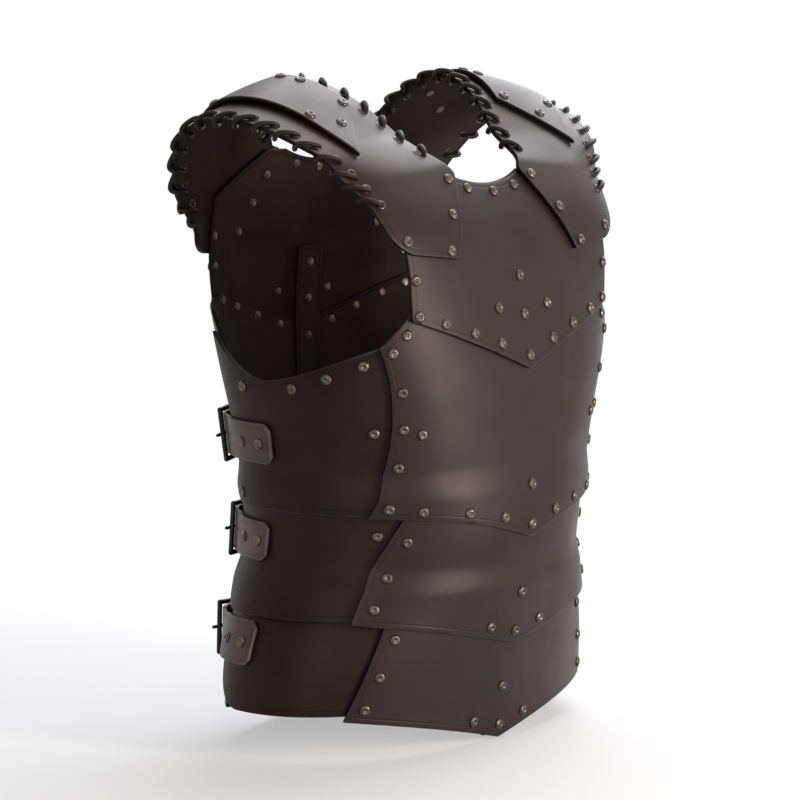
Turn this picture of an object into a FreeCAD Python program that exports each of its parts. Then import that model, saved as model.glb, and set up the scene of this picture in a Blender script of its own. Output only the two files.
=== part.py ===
import FreeCAD, Part
import math
import os
from functools import lru_cache

from FreeCAD import Matrix, Placement, Rotation, Vector

# Leather cuirass: riveted plates bent round a torso, laced shoulder straps and buckled sides.
# Z is up, the front faces -Y and the wearer's left is +X. The hem's front tip is at height zero.

doc = FreeCAD.newDocument("LeatherCuirass")
sheet = doc.addObject("Spreadsheet::Sheet", "Sizes")
sheet_rows = []


def put(**values):
    for name, value in values.items():
        sheet_rows.append(name)
        cell = "B%d" % len(sheet_rows)
        sheet.set("A%d" % len(sheet_rows), name)
        sheet.set(cell, str(value))
        sheet.setAlias(cell, name)


# Leather and clearances
put(leather=3.6, thin_leather=2.4, lay_gap=0.4, strip_gap=0.3, overrun=60)

# Torso inside the leather: sections from the hem up to the collar.
# Each has a level, a half width, a depth to the front and to the back, and a setback of its middle.
put(hem_level=-14, hem_half_width=174, hem_front=89, hem_back=92, hem_setback=10)
put(hip_level=30, hip_half_width=174, hip_front=91, hip_back=94, hip_setback=10)
put(belly_level=80, belly_half_width=167, belly_front=96, belly_back=100, belly_setback=6)
put(waist_level=130, waist_half_width=148, waist_front=104, waist_back=107, waist_setback=4)
put(girth_level=170, girth_half_width=142, girth_front=109, girth_back=110, girth_setback=1)
put(rib_level=210, rib_half_width=145, rib_front=106, rib_back=112, rib_setback=-3)
put(bust_level=260, bust_half_width=153, bust_front=105, bust_back=115, bust_setback=-4)
put(chest_level=300, chest_half_width=160, chest_front=103, chest_back=117, chest_setback=-4)
put(breast_level=345, breast_half_width=166, breast_front=96, breast_back=116, breast_setback=-3)
put(collar_level=400, collar_half_width=166, collar_front=85, collar_back=109, collar_setback=-2)
put(nape_level=450, nape_half_width=160, nape_front=53, nape_back=96, nape_setback=-2)
put(crest_level=500, crest_half_width=150, crest_front=19, crest_back=76, crest_setback=-2)

# Seam levels of the three tiers, at the centre tip and at the side corner
put(yoke_tip_level=298, yoke_corner_level=342, yoke_half_width=121, yoke_bow=1)
put(chest_tip_level=165, chest_corner_level=188, chest_bow=5.5)
put(upper_lame_tip_level=78, upper_lame_corner_level=106, upper_lame_bow=2)
put(lower_lame_corner_level=30, lower_lame_bow=2)
put(chest_tuck=14, upper_lame_tuck=20, yoke_tuck=22, shed_blend=24, side_overlap=16.5)
put(tongue_gap=1.2, back_chest_tip_level=182, back_upper_lame_tip_level=104)

# Front plates: half widths of their side edges
put(chest_edge_half_width=127, chest_edge_flare=15, chest_edge_narrow_level=245)
put(chest_top_half_width=142, chest_top_corner_level=322)
put(upper_lame_top_half_width=106, upper_lame_foot_half_width=146)
put(lower_lame_top_half_width=114, lower_lame_foot_half_width=149)

# Neck opening and the yokes' hidden top edges under the shoulder straps
put(front_neck_level=442, back_neck_level=456, neck_half_width=46, neck_corner_rise=9)
put(yoke_top_half_width=125, yoke_shoulder_level=430, yoke_shoulder_half_width=68)

# Side plates and back plates
put(armhole_level=293, armhole_front_level=326, armhole_front_depth=95, armhole_dip_back=12)
put(panel_rear_depth=72, upper_rear_depth=72, lower_rear_depth=62, armhole_rear_rise=34)
put(back_edge_depth=54)
put(side_panel_foot_level=190, side_upper_foot_level=108, side_lower_foot_level=34)
put(panel_corner_radius=16, lame_corner_radius=20, hem_corner_radius=34)
put(back_armhole_foot_depth=40, back_armhole_head_depth=96, back_armhole_head_level=392)
put(back_armhole_foot_level=288, back_armhole_bow=7)

# Shoulder straps and caps
put(shoulder_reach=195, shoulder_depth=107, shoulder_foot_level=382, shoulder_top_level=525)
put(strap_foot_inset=22, strap_corner_radius=17, strap_crown=4, strap_seat_gap=0.5)
put(cap_seat_gap=0.4, cap_arch=2)

# Lace
put(lace_diameter=3.4, lace_gap=1.5, lace_inset=10, lace_bend_radius=3)
put(eyelet_bore_radius=2.15, eyelet_wall=0.55, eyelet_flange_radius=4.1, eyelet_washer_radius=3.8)
put(eyelet_lip=0.5, eyelet_gap=0.3)

# Rivets
put(strip_width=30, strip_foot_level=3, strip_head_level=384)
put(side_row_inset=8, second_row_inset=21, lame_row_inset=11, neck_rivet_inset=6.5, neck_rivet_reach=29)
put(cap_radius=4.6, cap_height=1.9, shank_radius=1.5, washer_radius=4.2, washer_height=1.0)
put(rivet_seat_gap=0.5, rivet_hole_clearance=0.2, rivet_edge=10.5)

# Side fastenings
put(billet_width=32, billet_thickness=3.0, billet_clip=5, tab_leather=2.1)
put(top_buckle_level=244, middle_buckle_level=163, low_buckle_level=84)
put(top_billet_start=8, middle_billet_start=20, low_billet_start=14)
put(billet_rivet_inset=10, billet_rivet_spacing=22, billet_seat_gap=0.9, billet_loop_gap=0.5)
put(heel_reach=112, billet_tip_reach=50, tab_reach=68, tab_rivet_inset=9, tab_rivet_spread=18)
put(bar_radius=2, frame_inner_width=36, frame_inner_length=22, bar_seat_gap=0.4, tab_seat_gap=0.6)
put(prong_radius=1.4, prong_running_gap=0.08, prong_ring_wall=1.6, prong_ring_width=4)
put(prong_overhang=3, prong_seat_gap=0.1, prong_slot_gap=0.7, loop_gap=0.3)
put(keeper_reach=24, keeper_width=11, keeper_leather=1.4, keeper_gap=0.5)

doc.recompute()


def size(name):
    return float(sheet.get(name))


sections = ("hem", "hip", "belly", "waist", "girth", "rib", "bust", "chest", "breast", "collar",
            "nape", "crest")
# Squareness of each section: 2 is an ellipse and more is boxier.
squareness = (2.2, 2.2, 2.15, 2.1, 2.1, 2.2, 2.4, 2.7, 3.2, 4.2, 4.4, 4.0)
levels = [size(name + "_level") for name in sections]
torso_rows = [[size(name + part) for part in ("_half_width", "_front", "_back", "_setback")]
              + [power] for name, power in zip(sections, squareness)]

leather = size("leather")
layer = leather + size("lay_gap")
overrun = size("overrun")


# Smooth interpolation through the torso's sections
def between(keys, rows, key):
    last = len(keys) - 2
    index = 0
    while index < last and key > keys[index + 1]:
        index += 1
    span = keys[index + 1] - keys[index]
    step = (key - keys[index]) / span

    def slope(row, column):
        low = max(row - 1, 0)
        high = min(row + 1, len(keys) - 1)
        return (rows[high][column] - rows[low][column]) / (keys[high] - keys[low])

    result = []
    for column in range(len(rows[0])):
        first, second = rows[index][column], rows[index + 1][column]
        rise_first, rise_second = slope(index, column) * span, slope(index + 1, column) * span
        result.append(first * (1 + 2 * step) * (1 - step) ** 2 + rise_first * step * (1 - step) ** 2
                      + second * step ** 2 * (3 - 2 * step) - rise_second * step ** 2 * (1 - step))
    return result


@lru_cache(maxsize=None)
def section_at(level):
    return between(levels, torso_rows, level)


# A point of the torso: the angle is 0 at the wearer's left, 90 at the front and -90 at the back.
def skin(angle, level):
    half_width, front, back, setback, power = section_at(level)
    depth = front if angle > 0 else back
    turn = math.radians(angle)
    across, along = math.cos(turn), math.sin(turn)
    reach = (abs(across / half_width) ** power + abs(along / depth) ** power) ** (-1 / power)
    return Vector(reach * across, setback - reach * along, level)


small_angle = 0.5
small_rise = 0.01 * leather


def skin_normal(angle, level):
    round_step = skin(angle + small_angle, level) - skin(angle - small_angle, level)
    rise_step = skin(angle, level + small_rise) - skin(angle, level - small_rise)
    outward = rise_step.cross(round_step)
    return outward.normalize()


def lifted(angle, level, lift):
    return skin(angle, level) + skin_normal(angle, level) * lift


# The angle at which the lifted torso reaches a given X (front or back) or a given Y (left side)
@lru_cache(maxsize=None)
def angle_at_x(across, level, lift, front=True):
    low, high = (0.0, 90.0) if front else (0.0, -90.0)
    for _ in range(24):
        middle = (low + high) / 2
        if lifted(middle, level, lift).x > across:
            low = middle
        else:
            high = middle
    return (low + high) / 2


@lru_cache(maxsize=None)
def angle_at_y(along, level, lift):
    low, high = -89.0, 89.0
    for _ in range(24):
        middle = (low + high) / 2
        if lifted(middle, level, lift).y > along:
            low = middle
        else:
            high = middle
    return (low + high) / 2


def mix(first, second, share):
    return first + (second - first) * share


def smooth(share):
    share = min(max(share, 0.0), 1.0)
    return share * share * (3 - 2 * share)


# A closed sheet between two surfaces, each given by a function of two shares and a side:
# side 0 is the inner face and side 1 the outer one.
def sheet_solid(surface, steps_u, steps_v):
    rows_in, rows_out = [
        [[surface(i / steps_u, j / steps_v, side) for j in range(steps_v + 1)]
         for i in range(steps_u + 1)] for side in (0, 1)]
    skins = []
    for rows in (rows_in, rows_out):
        surface_fit = Part.BSplineSurface()
        surface_fit.interpolate(rows)
        skins.append(surface_fit)
    faces = [fit.toShape() for fit in skins]
    inner, outer = skins
    for iso, bounds in (("uIso", (0, 1)), ("vIso", (2, 3))):
        for bound in bounds:
            edges = [getattr(fit, iso)(fit.bounds()[bound]).toShape() for fit in (inner, outer)]
            faces.append(Part.makeRuledSurface(edges[0], edges[1]))
    shell = Part.makeShell(faces)
    shell.sewShape()
    solid = Part.Solid(shell)
    if solid.Volume < 0:
        solid.reverse()
    return solid


# An outline in the XZ plane (or the YZ plane) pushed through the part.
# A point is a line to it, and a pair of points is an arc through the first to the second.
def outline_wire(start, moves, plane):
    def place(point):
        return Vector(point[0], 0, point[1]) if plane == "XZ" else Vector(0, point[0], point[1])

    edges = []
    here = start
    for move in moves:
        if isinstance(move[0], tuple):
            edges.append(Part.Arc(place(here), place(move[0]), place(move[1])).toShape())
            here = move[1]
        else:
            edges.append(Part.LineSegment(place(here), place(move)).toShape())
            here = move
    return Part.Wire(edges)


def prism(start, moves, plane="XZ", low=None, high=None):
    reach = size("shoulder_reach") + overrun
    low = -reach if low is None else low
    high = reach if high is None else high
    face = Part.Face(outline_wire(start, moves, plane))
    way = Vector(0, 1, 0) if plane == "XZ" else Vector(1, 0, 0)
    face.translate(way * low)
    return face.extrude(way * (high - low))


def bowed(first, second, bow):
    run, rise = second[0] - first[0], second[1] - first[1]
    length = math.hypot(run, rise)
    side = 1 if run > 0 else -1
    middle = (mix(first[0], second[0], 0.5) - side * bow * rise / length,
              mix(first[1], second[1], 0.5) + side * bow * run / length)
    return (middle, second)


def mirrored_x(shape):
    return shape.mirror(Vector(0, 0, 0), Vector(1, 0, 0))


def single(shape):
    return max(shape.Solids, key=lambda solid: solid.Volume)


# Lifts: back plates lie innermost, side plates over them and front plates over those.
# Each tier sheds over the next, one layer further out from the next tier's top edge down.
column_layers = {"back": 0, "side": 1, "front": 2}
tier_heads = {"plate": size("chest_corner_level") + size("chest_tuck"),
              "upper": size("upper_lame_corner_level") + size("upper_lame_tuck")}


def shed(tier, level):
    if tier == "yoke":
        return 1.0
    if tier == "lower":
        return 0.0
    head = tier_heads[tier] + size("lay_gap")
    return 1 - smooth((level - head) / size("shed_blend"))


def lift_of(column, tier, level):
    return (column_layers[column] + shed(tier, level)) * layer


# A point on a plate's outer face, and the way out of that face, which slopes where it sheds
def plate_point(column, tier, angle, level):
    return lifted(angle, level, lift_of(column, tier, level) + leather)


def plate_normal(column, tier, angle, level):
    ends = [plate_point(column, tier, angle + turn, level + rise)
            for turn, rise in ((-small_angle, 0), (small_angle, 0), (0, -small_rise),
                               (0, small_rise))]
    return (ends[3] - ends[2]).cross(ends[1] - ends[0]).normalize()


# A plate of a column and tier between two edge angles, before its outline is cut
def bent_plate(column, tier, low_level, high_level, first_angle, last_angle, steps_round):
    steps_up = max(8, round((high_level - low_level) / (1.6 * leather)))

    def surface(u, v, side):
        level = mix(low_level, high_level, v)
        lift = lift_of(column, tier, level) + side * leather
        return lifted(mix(first_angle(level), last_angle(level), u), level, lift)

    return sheet_solid(surface, steps_round, steps_up)


# Side edges of the front plates
def chest_edge(level):
    drop = (level - size("chest_edge_narrow_level"))
    drop /= size("chest_top_corner_level") - size("chest_edge_narrow_level")
    return size("chest_edge_half_width") + size("chest_edge_flare") * drop * drop


def upper_lame_edge(level):
    share = (tier_heads["plate"] - level) / (tier_heads["plate"] - size("upper_lame_corner_level"))
    return mix(size("upper_lame_top_half_width"), size("upper_lame_foot_half_width"), share)


def lower_lame_edge(level):
    share = (tier_heads["upper"] - level) / (tier_heads["upper"] - size("lower_lame_corner_level"))
    return mix(size("lower_lame_top_half_width"), size("lower_lame_foot_half_width"), share)


front_edges = {"plate": chest_edge, "upper": upper_lame_edge, "lower": lower_lame_edge}


def front_edge_angle(tier, level):
    lift = lift_of("front", tier, level) + leather
    return angle_at_x(front_edges[tier](level), level, lift)


def hidden_edge_angle(tier, level):
    bare = front_edge_angle(tier, level)
    spot = skin(bare, level)
    return bare + math.degrees(size("side_overlap") / math.hypot(spot.x, spot.y))


def back_edge_angle(tier, level):
    return angle_at_y(size("back_edge_depth"), level, lift_of("back", tier, level))


half_turn = 180
quarter_turn = half_turn / 2
margin = 2 * leather


# The mirror image of an angle, on the other side of the front or of the back
def far_side(column, angle):
    return (half_turn if column == "front" else -half_turn) - angle


# Half outline of a V foot, mirrored to the other side: tip, bowed run to the corner, then the top
def v_outline(tip, corner, corner_half_width, bow, top_points):
    near = (corner_half_width, corner)
    wide = corner_half_width + overrun
    right = [bowed((0, tip), near, bow), (wide, corner)] + top_points
    left = [(-point[0], point[1]) for point in reversed(top_points)]
    if top_points[-1][0] == 0:
        left = left[1:]
    middle = bowed((0, tip), near, bow)[0]
    left += [(-wide, corner), (-corner_half_width, corner), ((-middle[0], middle[1]), (0, tip))]
    return prism((0, tip), right + left)


def full_width_plate(column, tier, low_level, high_level, cutter):
    def edge(level):
        if column == "front":
            return front_edge_angle(tier, level)
        return back_edge_angle(tier, level)

    def far_edge(level):
        return far_side(column, edge(level))

    plate = bent_plate(column, tier, low_level - margin, high_level + margin, edge, far_edge, 28)
    return single(plate.common(cutter))


# Each tier: tip level, corner level, corner half width and bow of its foot.
# The back's two upper feet run nearly straight, so that the buckle tabs clear them.
def tier_foot(column, tier):
    side = "back_" if column == "back" else ""
    return {"plate": (size(side + "chest_tip_level"), size("chest_corner_level"),
                      chest_edge(size("chest_corner_level")), size("chest_bow")),
            "upper": (size(side + "upper_lame_tip_level"), size("upper_lame_corner_level"),
                      size("upper_lame_foot_half_width"), size("upper_lame_bow")),
            "lower": (0.0, size("lower_lame_corner_level"),
                      size("lower_lame_foot_half_width"), size("lower_lame_bow"))}[tier]


yoke_foot = (size("yoke_tip_level"), size("yoke_corner_level"), size("yoke_half_width"),
             size("yoke_bow"))
plates = {}
holes = {}
chest_head_tip = size("yoke_tip_level") + size("yoke_tuck")
chest_head_corner = size("yoke_corner_level") + size("yoke_tuck") / 2
for column in ("front", "back"):
    for tier in ("plate", "upper", "lower"):
        foot = tier_foot(column, tier)
        wide = foot[2] + overrun
        if tier == "plate":
            # The armhole cuts the plate's upper corner, from under the yoke down to its side edge
            hollow = size("yoke_half_width") - margin
            flank_level = size("chest_top_corner_level")
            head = [(wide, flank_level), (hollow, chest_head_corner), (0, chest_head_tip)]
            if column == "front":
                head.insert(1, (size("chest_top_half_width"), flank_level))
            high = chest_head_corner
        else:
            high = tier_heads["plate" if tier == "upper" else "upper"]
            head = [(wide, high)]
        cutter = v_outline(*foot, head)
        plates[column, tier] = full_width_plate(column, tier, foot[0], high, cutter)


# Yokes: their sides are the armholes' edges and their tops lie under the shoulder straps
def yoke(column):
    neck_level = size(column + "_neck_level")
    neck = size("neck_half_width")
    neck_top = neck_level + size("neck_corner_rise")
    corner = (size("yoke_half_width"), size("yoke_corner_level"))
    shoulder = (size("yoke_shoulder_half_width"), neck_top)
    outer_top = (size("yoke_top_half_width"), size("yoke_shoulder_level"))
    side = [bowed((0, yoke_foot[0]), corner, size("yoke_bow")), outer_top, shoulder,
            (neck, neck_top), ((0, neck_level), (-neck, neck_top))]
    other = [(-shoulder[0], shoulder[1]), (-outer_top[0], outer_top[1]), (-corner[0], corner[1])]
    middle = bowed((0, yoke_foot[0]), corner, size("yoke_bow"))[0]
    cutter = prism((0, yoke_foot[0]), side + other + [((-middle[0], middle[1]), (0, yoke_foot[0]))])

    def edge(level):
        lift = lift_of(column, "yoke", level)
        return angle_at_x(size("yoke_top_half_width") + margin, level, lift, column == "front")

    def far_edge(level):
        return far_side(column, edge(level))

    plate = bent_plate(column, "yoke", yoke_foot[0] - margin, neck_top + margin, edge, far_edge, 28)
    return single(plate.common(cutter))


for column in ("front", "back"):
    plates[column, "yoke"] = yoke(column)


# Side plates, made on the wearer's left and mirrored to the right
def side_plate(tier):
    heads = {"plate": size("armhole_front_level") + leather, "upper": tier_heads["plate"],
             "lower": tier_heads["upper"]}
    feet = {"plate": size("side_panel_foot_level"), "upper": size("side_upper_foot_level"),
            "lower": size("side_lower_foot_level")}
    corner_radii = {"plate": size("panel_corner_radius"), "upper": size("lame_corner_radius"),
                    "lower": size("hem_corner_radius")}
    head, foot, radius = heads[tier], feet[tier], corner_radii[tier]

    rear = size({"plate": "panel", "upper": "upper", "lower": "lower"}[tier] + "_rear_depth")

    def rear_angle(level):
        return angle_at_y(rear + margin, level, lift_of("side", tier, level))

    def front_angle(level):
        return hidden_edge_angle(tier, level)

    plate = bent_plate("side", tier, foot - margin, head + margin, rear_angle, front_angle, 12)
    ahead = -size("shoulder_reach")
    slant = radius * (1 - math.sqrt(0.5))
    moves = [(rear - radius, foot), ((rear - slant, foot + slant), (rear, foot + radius))]
    if tier == "plate":
        dip = (size("armhole_dip_back"), size("armhole_level"))
        rear_top = (rear, size("armhole_level") + size("armhole_rear_rise"))
        bend = (mix(dip[0], rear, 0.5), mix(dip[1], rear_top[1], 0.3))
        front_top = (-size("armhole_front_depth"), size("armhole_front_level"))
        sweep = (mix(dip[0], front_top[0], 0.5), mix(dip[1], front_top[1], 0.34))
        moves += [rear_top, (bend, dip), (sweep, front_top), (ahead, front_top[1])]
    else:
        moves += [(rear, head), (ahead, head)]
    cutter = prism((ahead, foot), moves + [(ahead, foot)], "YZ", 0)
    return single(plate.common(cutter))


for tier in ("plate", "upper", "lower"):
    plates["side", tier] = side_plate(tier)


# Shoulder strap on the wearer's left: stations from the front foot over the shoulder to the back.
# Shares of the shoulder's reach across, of its depth, and of the rise from foot to top.
neck_across_shares = (0.27, 0.24, 0.22, 0.21, 0.259, 0.295, 0.328, 0.362, 0.397, 0.426, 0.438,
                      0.423, 0.38, 0.323, 0.277, 0.251, 0.256, 0.28)
neck_depth_shares = (-1, -0.95, -0.87, -0.74, -0.509, -0.364, -0.22, -0.075, 0.098, 0.299, 0.486,
                     0.654, 0.775, 0.9, 0.98, 1, 1.02, 1.04)
neck_rise_shares = (0.02, 0.168, 0.322, 0.469, 0.549, 0.636, 0.733, 0.827, 0.906, 0.958, 0.962,
                    0.906, 0.825, 0.685, 0.538, 0.385, 0.224, 0.07)
arm_across_shares = (0.682, 0.708, 0.73, 0.764, 0.805, 0.856, 0.913, 0.954, 0.985, 1, 0.995, 0.969,
                     0.923, 0.862, 0.805, 0.764, 0.733, 0.703)
arm_depth_shares = (-0.96, -0.92, -0.86, -0.77, -0.645, -0.495, -0.336, -0.168, 0.019, 0.224, 0.449,
                    0.654, 0.822, 0.935, 1, 1.03, 1.04, 1.05)
arm_rise_shares = (0.084, 0.189, 0.294, 0.392, 0.476, 0.573, 0.65, 0.713, 0.755, 0.769, 0.755,
                   0.692, 0.573, 0.427, 0.287, 0.182, 0.091, 0)
stations = list(range(len(neck_rise_shares)))
shoulder_rise = size("shoulder_top_level") - size("shoulder_foot_level")


def station_row(index):
    row = []
    for across, depth, rise in ((neck_across_shares, neck_depth_shares, neck_rise_shares),
                                (arm_across_shares, arm_depth_shares, arm_rise_shares)):
        row += [across[index] * size("shoulder_reach"), depth[index] * size("shoulder_depth"),
                size("shoulder_foot_level") + rise[index] * shoulder_rise]
    return row


station_rows = [station_row(index) for index in stations]
strap_lift = lift_of("front", "yoke", 0) + leather + size("strap_seat_gap")
back_strap_lift = lift_of("back", "yoke", 0) + leather + size("strap_seat_gap")
lie_front_stations = (3.2, 5.4)
lie_back_stations = (12.2, 14.4)
lie_back_arm_delay = 1.2


# The torso's point at a given X and height, lifted by the given amount
def laid_point(across, height, lift, front):
    level = height
    for _ in range(4):
        angle = angle_at_x(across, level, lift, front)
        point = lifted(angle, level, lift)
        level -= point.z - height
    return Vector(across, point.y, height)


def strap_point(station, share):
    row = between(stations, station_rows, station)
    neck, arm = Vector(*row[:3]), Vector(*row[3:])
    chord = neck + (arm - neck) * share
    free = smooth((station - lie_front_stations[0]) / (lie_front_stations[1] - lie_front_stations[0]))
    free_back = smooth((lie_back_stations[1] + share * lie_back_arm_delay - station)
                       / (lie_back_stations[1] - lie_back_stations[0]))
    crown = size("strap_crown") * 4 * share * (1 - share) * min(free, free_back)
    chord.z += crown
    front = station < len(stations) / 2
    free = free if front else free_back
    if free >= 1:
        return chord
    laid = laid_point(chord.x, chord.z, strap_lift if front else back_strap_lift, front)
    return laid + (chord - laid) * free


strap_steps_along, strap_steps_across = 2 * (len(stations) - 1), 8
strap_surface = Part.BSplineSurface()
strap_surface.interpolate([[strap_point(i / 2, j / strap_steps_across)
                            for j in range(strap_steps_across + 1)]
                           for i in range(strap_steps_along + 1)])
u_low, u_high, v_low, v_high = strap_surface.bounds()


# A point on the strap's underside, or lifted off it, at shares of its length and of its width
def on_strap(along, across, lift):
    u, v = mix(u_low, u_high, along), mix(v_low, v_high, across)
    outward = strap_normal(along, across)
    return strap_surface.value(u, v) + outward * lift


def strap_normal(along, across):
    u, v = mix(u_low, u_high, along), mix(v_low, v_high, across)
    outward = strap_surface.normal(u, v)
    return outward if strap_sign > 0 else outward * -1


strap_sign = 1 if strap_surface.normal(mix(u_low, u_high, 0.5), mix(v_low, v_high, 0.5)).z > 0 else -1


def strap_solid():
    def surface(u, v, side):
        return on_strap(u, v, side * leather)

    blank = sheet_solid(surface, strap_steps_along, strap_steps_across)
    # The neck side is cut back to a straight edge from the neck corner down to the foot,
    # and the foot's outer corner is rounded, at the front and at the back.
    reach = size("shoulder_reach")
    radius = size("strap_corner_radius")
    for front in (True, False):
        row = station_rows[0 if front else -1]
        corner = station_rows[3 if front else -4]
        foot = (row[0] + size("strap_foot_inset"), row[2])
        low = foot[1] - overrun
        slope = (foot[0] - corner[0]) / (foot[1] - corner[2])
        inner = prism((-reach, low), [(foot[0] + slope * (low - foot[1]), low),
                                      (corner[0] + leather / 4, corner[2]), (-reach, corner[2]),
                                      (-reach, low)], "XZ", *((-reach, 0) if front else (0, reach)))
        tip = on_strap(0 if front else 1, 1, 0)
        second = on_strap(0.1 if front else 0.9, 1, 0)
        first = on_strap(0 if front else 1, 0.5, 0)
        along = (tip - first).normalize() * radius
        up = (second - tip).normalize() * radius
        start, end = tip - along, tip + up
        middle = tip + (up - along) * (1 - math.sqrt(0.5))
        outer = prism((start.x, start.z), [((middle.x, middle.z), (end.x, end.z)),
                                           (tip.x + overrun, end.z + radius),
                                           (tip.x + overrun, low), (start.x, low),
                                           (start.x, start.z)],
                      "XZ", *((-reach, 0) if front else (0, reach)))
        blank = single(blank.cut([inner, outer]))
    return blank


# Shoulder cap: front and rear edges slant, so their stations differ at its neck and arm sides
cap_neck_share, cap_arm_share = 0.17, 0.73
cap_front_stations = (6.9, 4.6)
cap_rear_stations = (11.2, 12.6)


def cap_spot(along, across):
    last = len(stations) - 1
    front = mix(*cap_front_stations, across) / last
    rear = mix(*cap_rear_stations, across) / last
    return mix(front, rear, along), mix(cap_neck_share, cap_arm_share, across)


def cap_point(along, across, side):
    arch = size("cap_arch") * math.sin(math.pi * along) ** 2
    lift = leather + size("cap_seat_gap") + arch + side * leather
    return on_strap(*cap_spot(along, across), lift)


def cap_strap_normal(along, across):
    return strap_normal(*cap_spot(along, across))


def cap_normal(along, across):
    nearby = 0.01
    ahead = cap_point(along + nearby, across, 1) - cap_point(along - nearby, across, 1)
    aside = cap_point(along, across + nearby, 1) - cap_point(along, across - nearby, 1)
    outward = ahead.cross(aside).normalize()
    return outward if outward.z > 0 else outward * -1


strap = strap_solid()
cap = sheet_solid(cap_point, 16, 6)


# Lace: one unbroken tube that whips over a strap's edge, through a hole at each stitch.
# Its path is straight runs joined by tangent arcs.
def tangent_path(points, bend):
    edges = []
    here = points[0]
    radii = []
    for before, corner, after in zip(points, points[1:], points[2:]):
        back, ahead = (before - corner), (after - corner)
        turn = math.pi - back.getAngle(ahead)
        cut = min(bend * math.tan(turn / 2), 0.49 * min(back.Length, ahead.Length))
        radii.append(cut / math.tan(turn / 2))
        start = corner + back.normalize() * cut
        end = corner + ahead.normalize() * cut
        inward = (back + ahead).normalize()
        rise = cut / math.cos((math.pi - turn) / 2) - radii[-1]
        edges.append(Part.LineSegment(here, start).toShape())
        edges.append(Part.Arc(start, corner + inward * rise, end).toShape())
        here = end
    edges.append(Part.LineSegment(here, points[-1]).toShape())
    return Part.Wire(edges), min(radii)


def round_tube(path, radius):
    edge = path.OrderedEdges[0]
    start = edge.valueAt(edge.FirstParameter)
    way = edge.tangentAt(edge.FirstParameter)
    ring = Part.Wire([Part.Circle(start, way, radius).toShape()])
    return path.makePipeShell([ring], True, False)


# Least gap from the tube to itself, measured between points that lie apart along it
def least_gap(path, radius):
    step = radius
    points = path.discretize(Distance=step)
    apart = round(6 * radius / step)
    least = None
    for i, first in enumerate(points):
        for second in points[i + apart:i + 14 * apart]:
            gap = first.distanceToPoint(second) - 2 * radius
            least = gap if least is None else min(least, gap)
    return least


lace_radius = size("lace_diameter") / 2
lace_stand = lace_radius + size("lace_gap")


# An eyelet lines each lace hole: a barrel with a flange outside and a washer inside
def eyelet_solid():
    gap, lip = size("eyelet_gap"), size("eyelet_lip")
    bore = size("eyelet_bore_radius")
    barrel = bore + size("eyelet_wall")
    foot, head = -gap, leather + gap
    profile = [(bore, foot - lip), (size("eyelet_washer_radius"), foot - lip),
               (size("eyelet_washer_radius"), foot), (barrel, foot), (barrel, head),
               (size("eyelet_flange_radius"), head), (size("eyelet_flange_radius"), head + lip),
               (bore, head + lip)]
    corners = [Vector(across, 0, height) for across, height in profile]
    face = Part.Face(Part.makePolygon(corners + corners[:1]))
    return face.revolve(Vector(0, 0, 0), Vector(0, 0, 1), 360)


eyelets = []
# Each stitch passes through its hole, over the edge further along, and back under to the next.
stitch_slant_share = 0.42


def edge_lace(name, across, outward_sign, first, last, stitches):
    nearby = 0.02
    points, hole_axes = [], []
    pitch = (last - first) / (stitches - 1)
    for index in range(stitches):
        along = first + index * pitch
        over = along + stitch_slant_share * pitch
        width = on_strap(along, 0, 0).distanceToPoint(on_strap(along, 1, 0))
        inside = across - outward_sign * size("lace_inset") / width
        hole, outward = on_strap(along, inside, 0), strap_normal(along, inside)
        low, high = hole - outward * lace_stand, hole + outward * (leather + lace_stand)
        hole_axes.append((low, high))
        edge = on_strap(over, across, 0)
        beyond = (edge - on_strap(over, across - outward_sign * nearby, 0)).normalize()
        outward = strap_normal(over, across)
        out = edge + beyond * lace_stand
        points += [low, high, out + outward * (leather + lace_stand), out - outward * lace_stand]
    path, bend = tangent_path(points, size("lace_bend_radius"))
    tube = round_tube(path, lace_radius)
    print(name, "stitches", stitches, "least bend radius %.2f" % bend,
          "length %.0f" % path.Length, "least gap %.2f" % least_gap(path, lace_radius),
          "volume share %.4f" % (tube.Volume / (math.pi * lace_radius ** 2 * path.Length)))
    drill = size("eyelet_bore_radius") + size("eyelet_wall") + size("eyelet_gap")
    drills = []
    for low, high in hole_axes:
        outward = (high - low).normalize()
        drills.append(Part.makeCylinder(drill, 5 * leather, low - outward * leather, outward))
        eyelet = eyelet_solid()
        eyelet.Placement = Placement(low + outward * lace_stand, Rotation(Vector(0, 0, 1), outward))
        eyelets.append(eyelet)
    return tube, drills


arm_lace, arm_drills = edge_lace("arm_lace", 1, 1, 0.13, 0.85, 16)
neck_lace, neck_drills = edge_lace("neck_lace", 0, -1, 0.24, 0.78, 12)
strap = single(strap.cut(arm_drills + neck_drills))


# Rivets: a domed cap outside, a shank through the leathers and a flat washer cap inside
def rivet_solid(stack):
    cap_radius, rise = size("cap_radius"), size("cap_height")
    shank, washer, thick = size("shank_radius"), size("washer_radius"), size("washer_height")
    seat = size("rivet_seat_gap")
    top, foot = Vector(0, 0, seat + rise), Vector(0, 0, -stack - seat - thick)
    rim_height = rise / 3
    rim = Vector(cap_radius, 0, seat + rim_height)
    turn = math.radians(45)
    bulge = Vector(cap_radius * math.sin(turn), 0,
                   seat + rim_height + (rise - rim_height) * math.cos(turn))
    corners = [rim, Vector(cap_radius, 0, seat), Vector(shank, 0, seat),
               Vector(shank, 0, -stack - seat), Vector(washer, 0, -stack - seat),
               Vector(washer, 0, foot.z), foot, top]
    edges = [Part.Arc(top, bulge, rim).toShape()]
    edges += [Part.LineSegment(first, second).toShape()
              for first, second in zip(corners, corners[1:])]
    return Part.Face(Part.Wire(edges)).revolve(Vector(0, 0, 0), Vector(0, 0, 1), 360)


rivets = {}
shank_drill = size("shank_radius") + size("rivet_hole_clearance")
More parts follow.
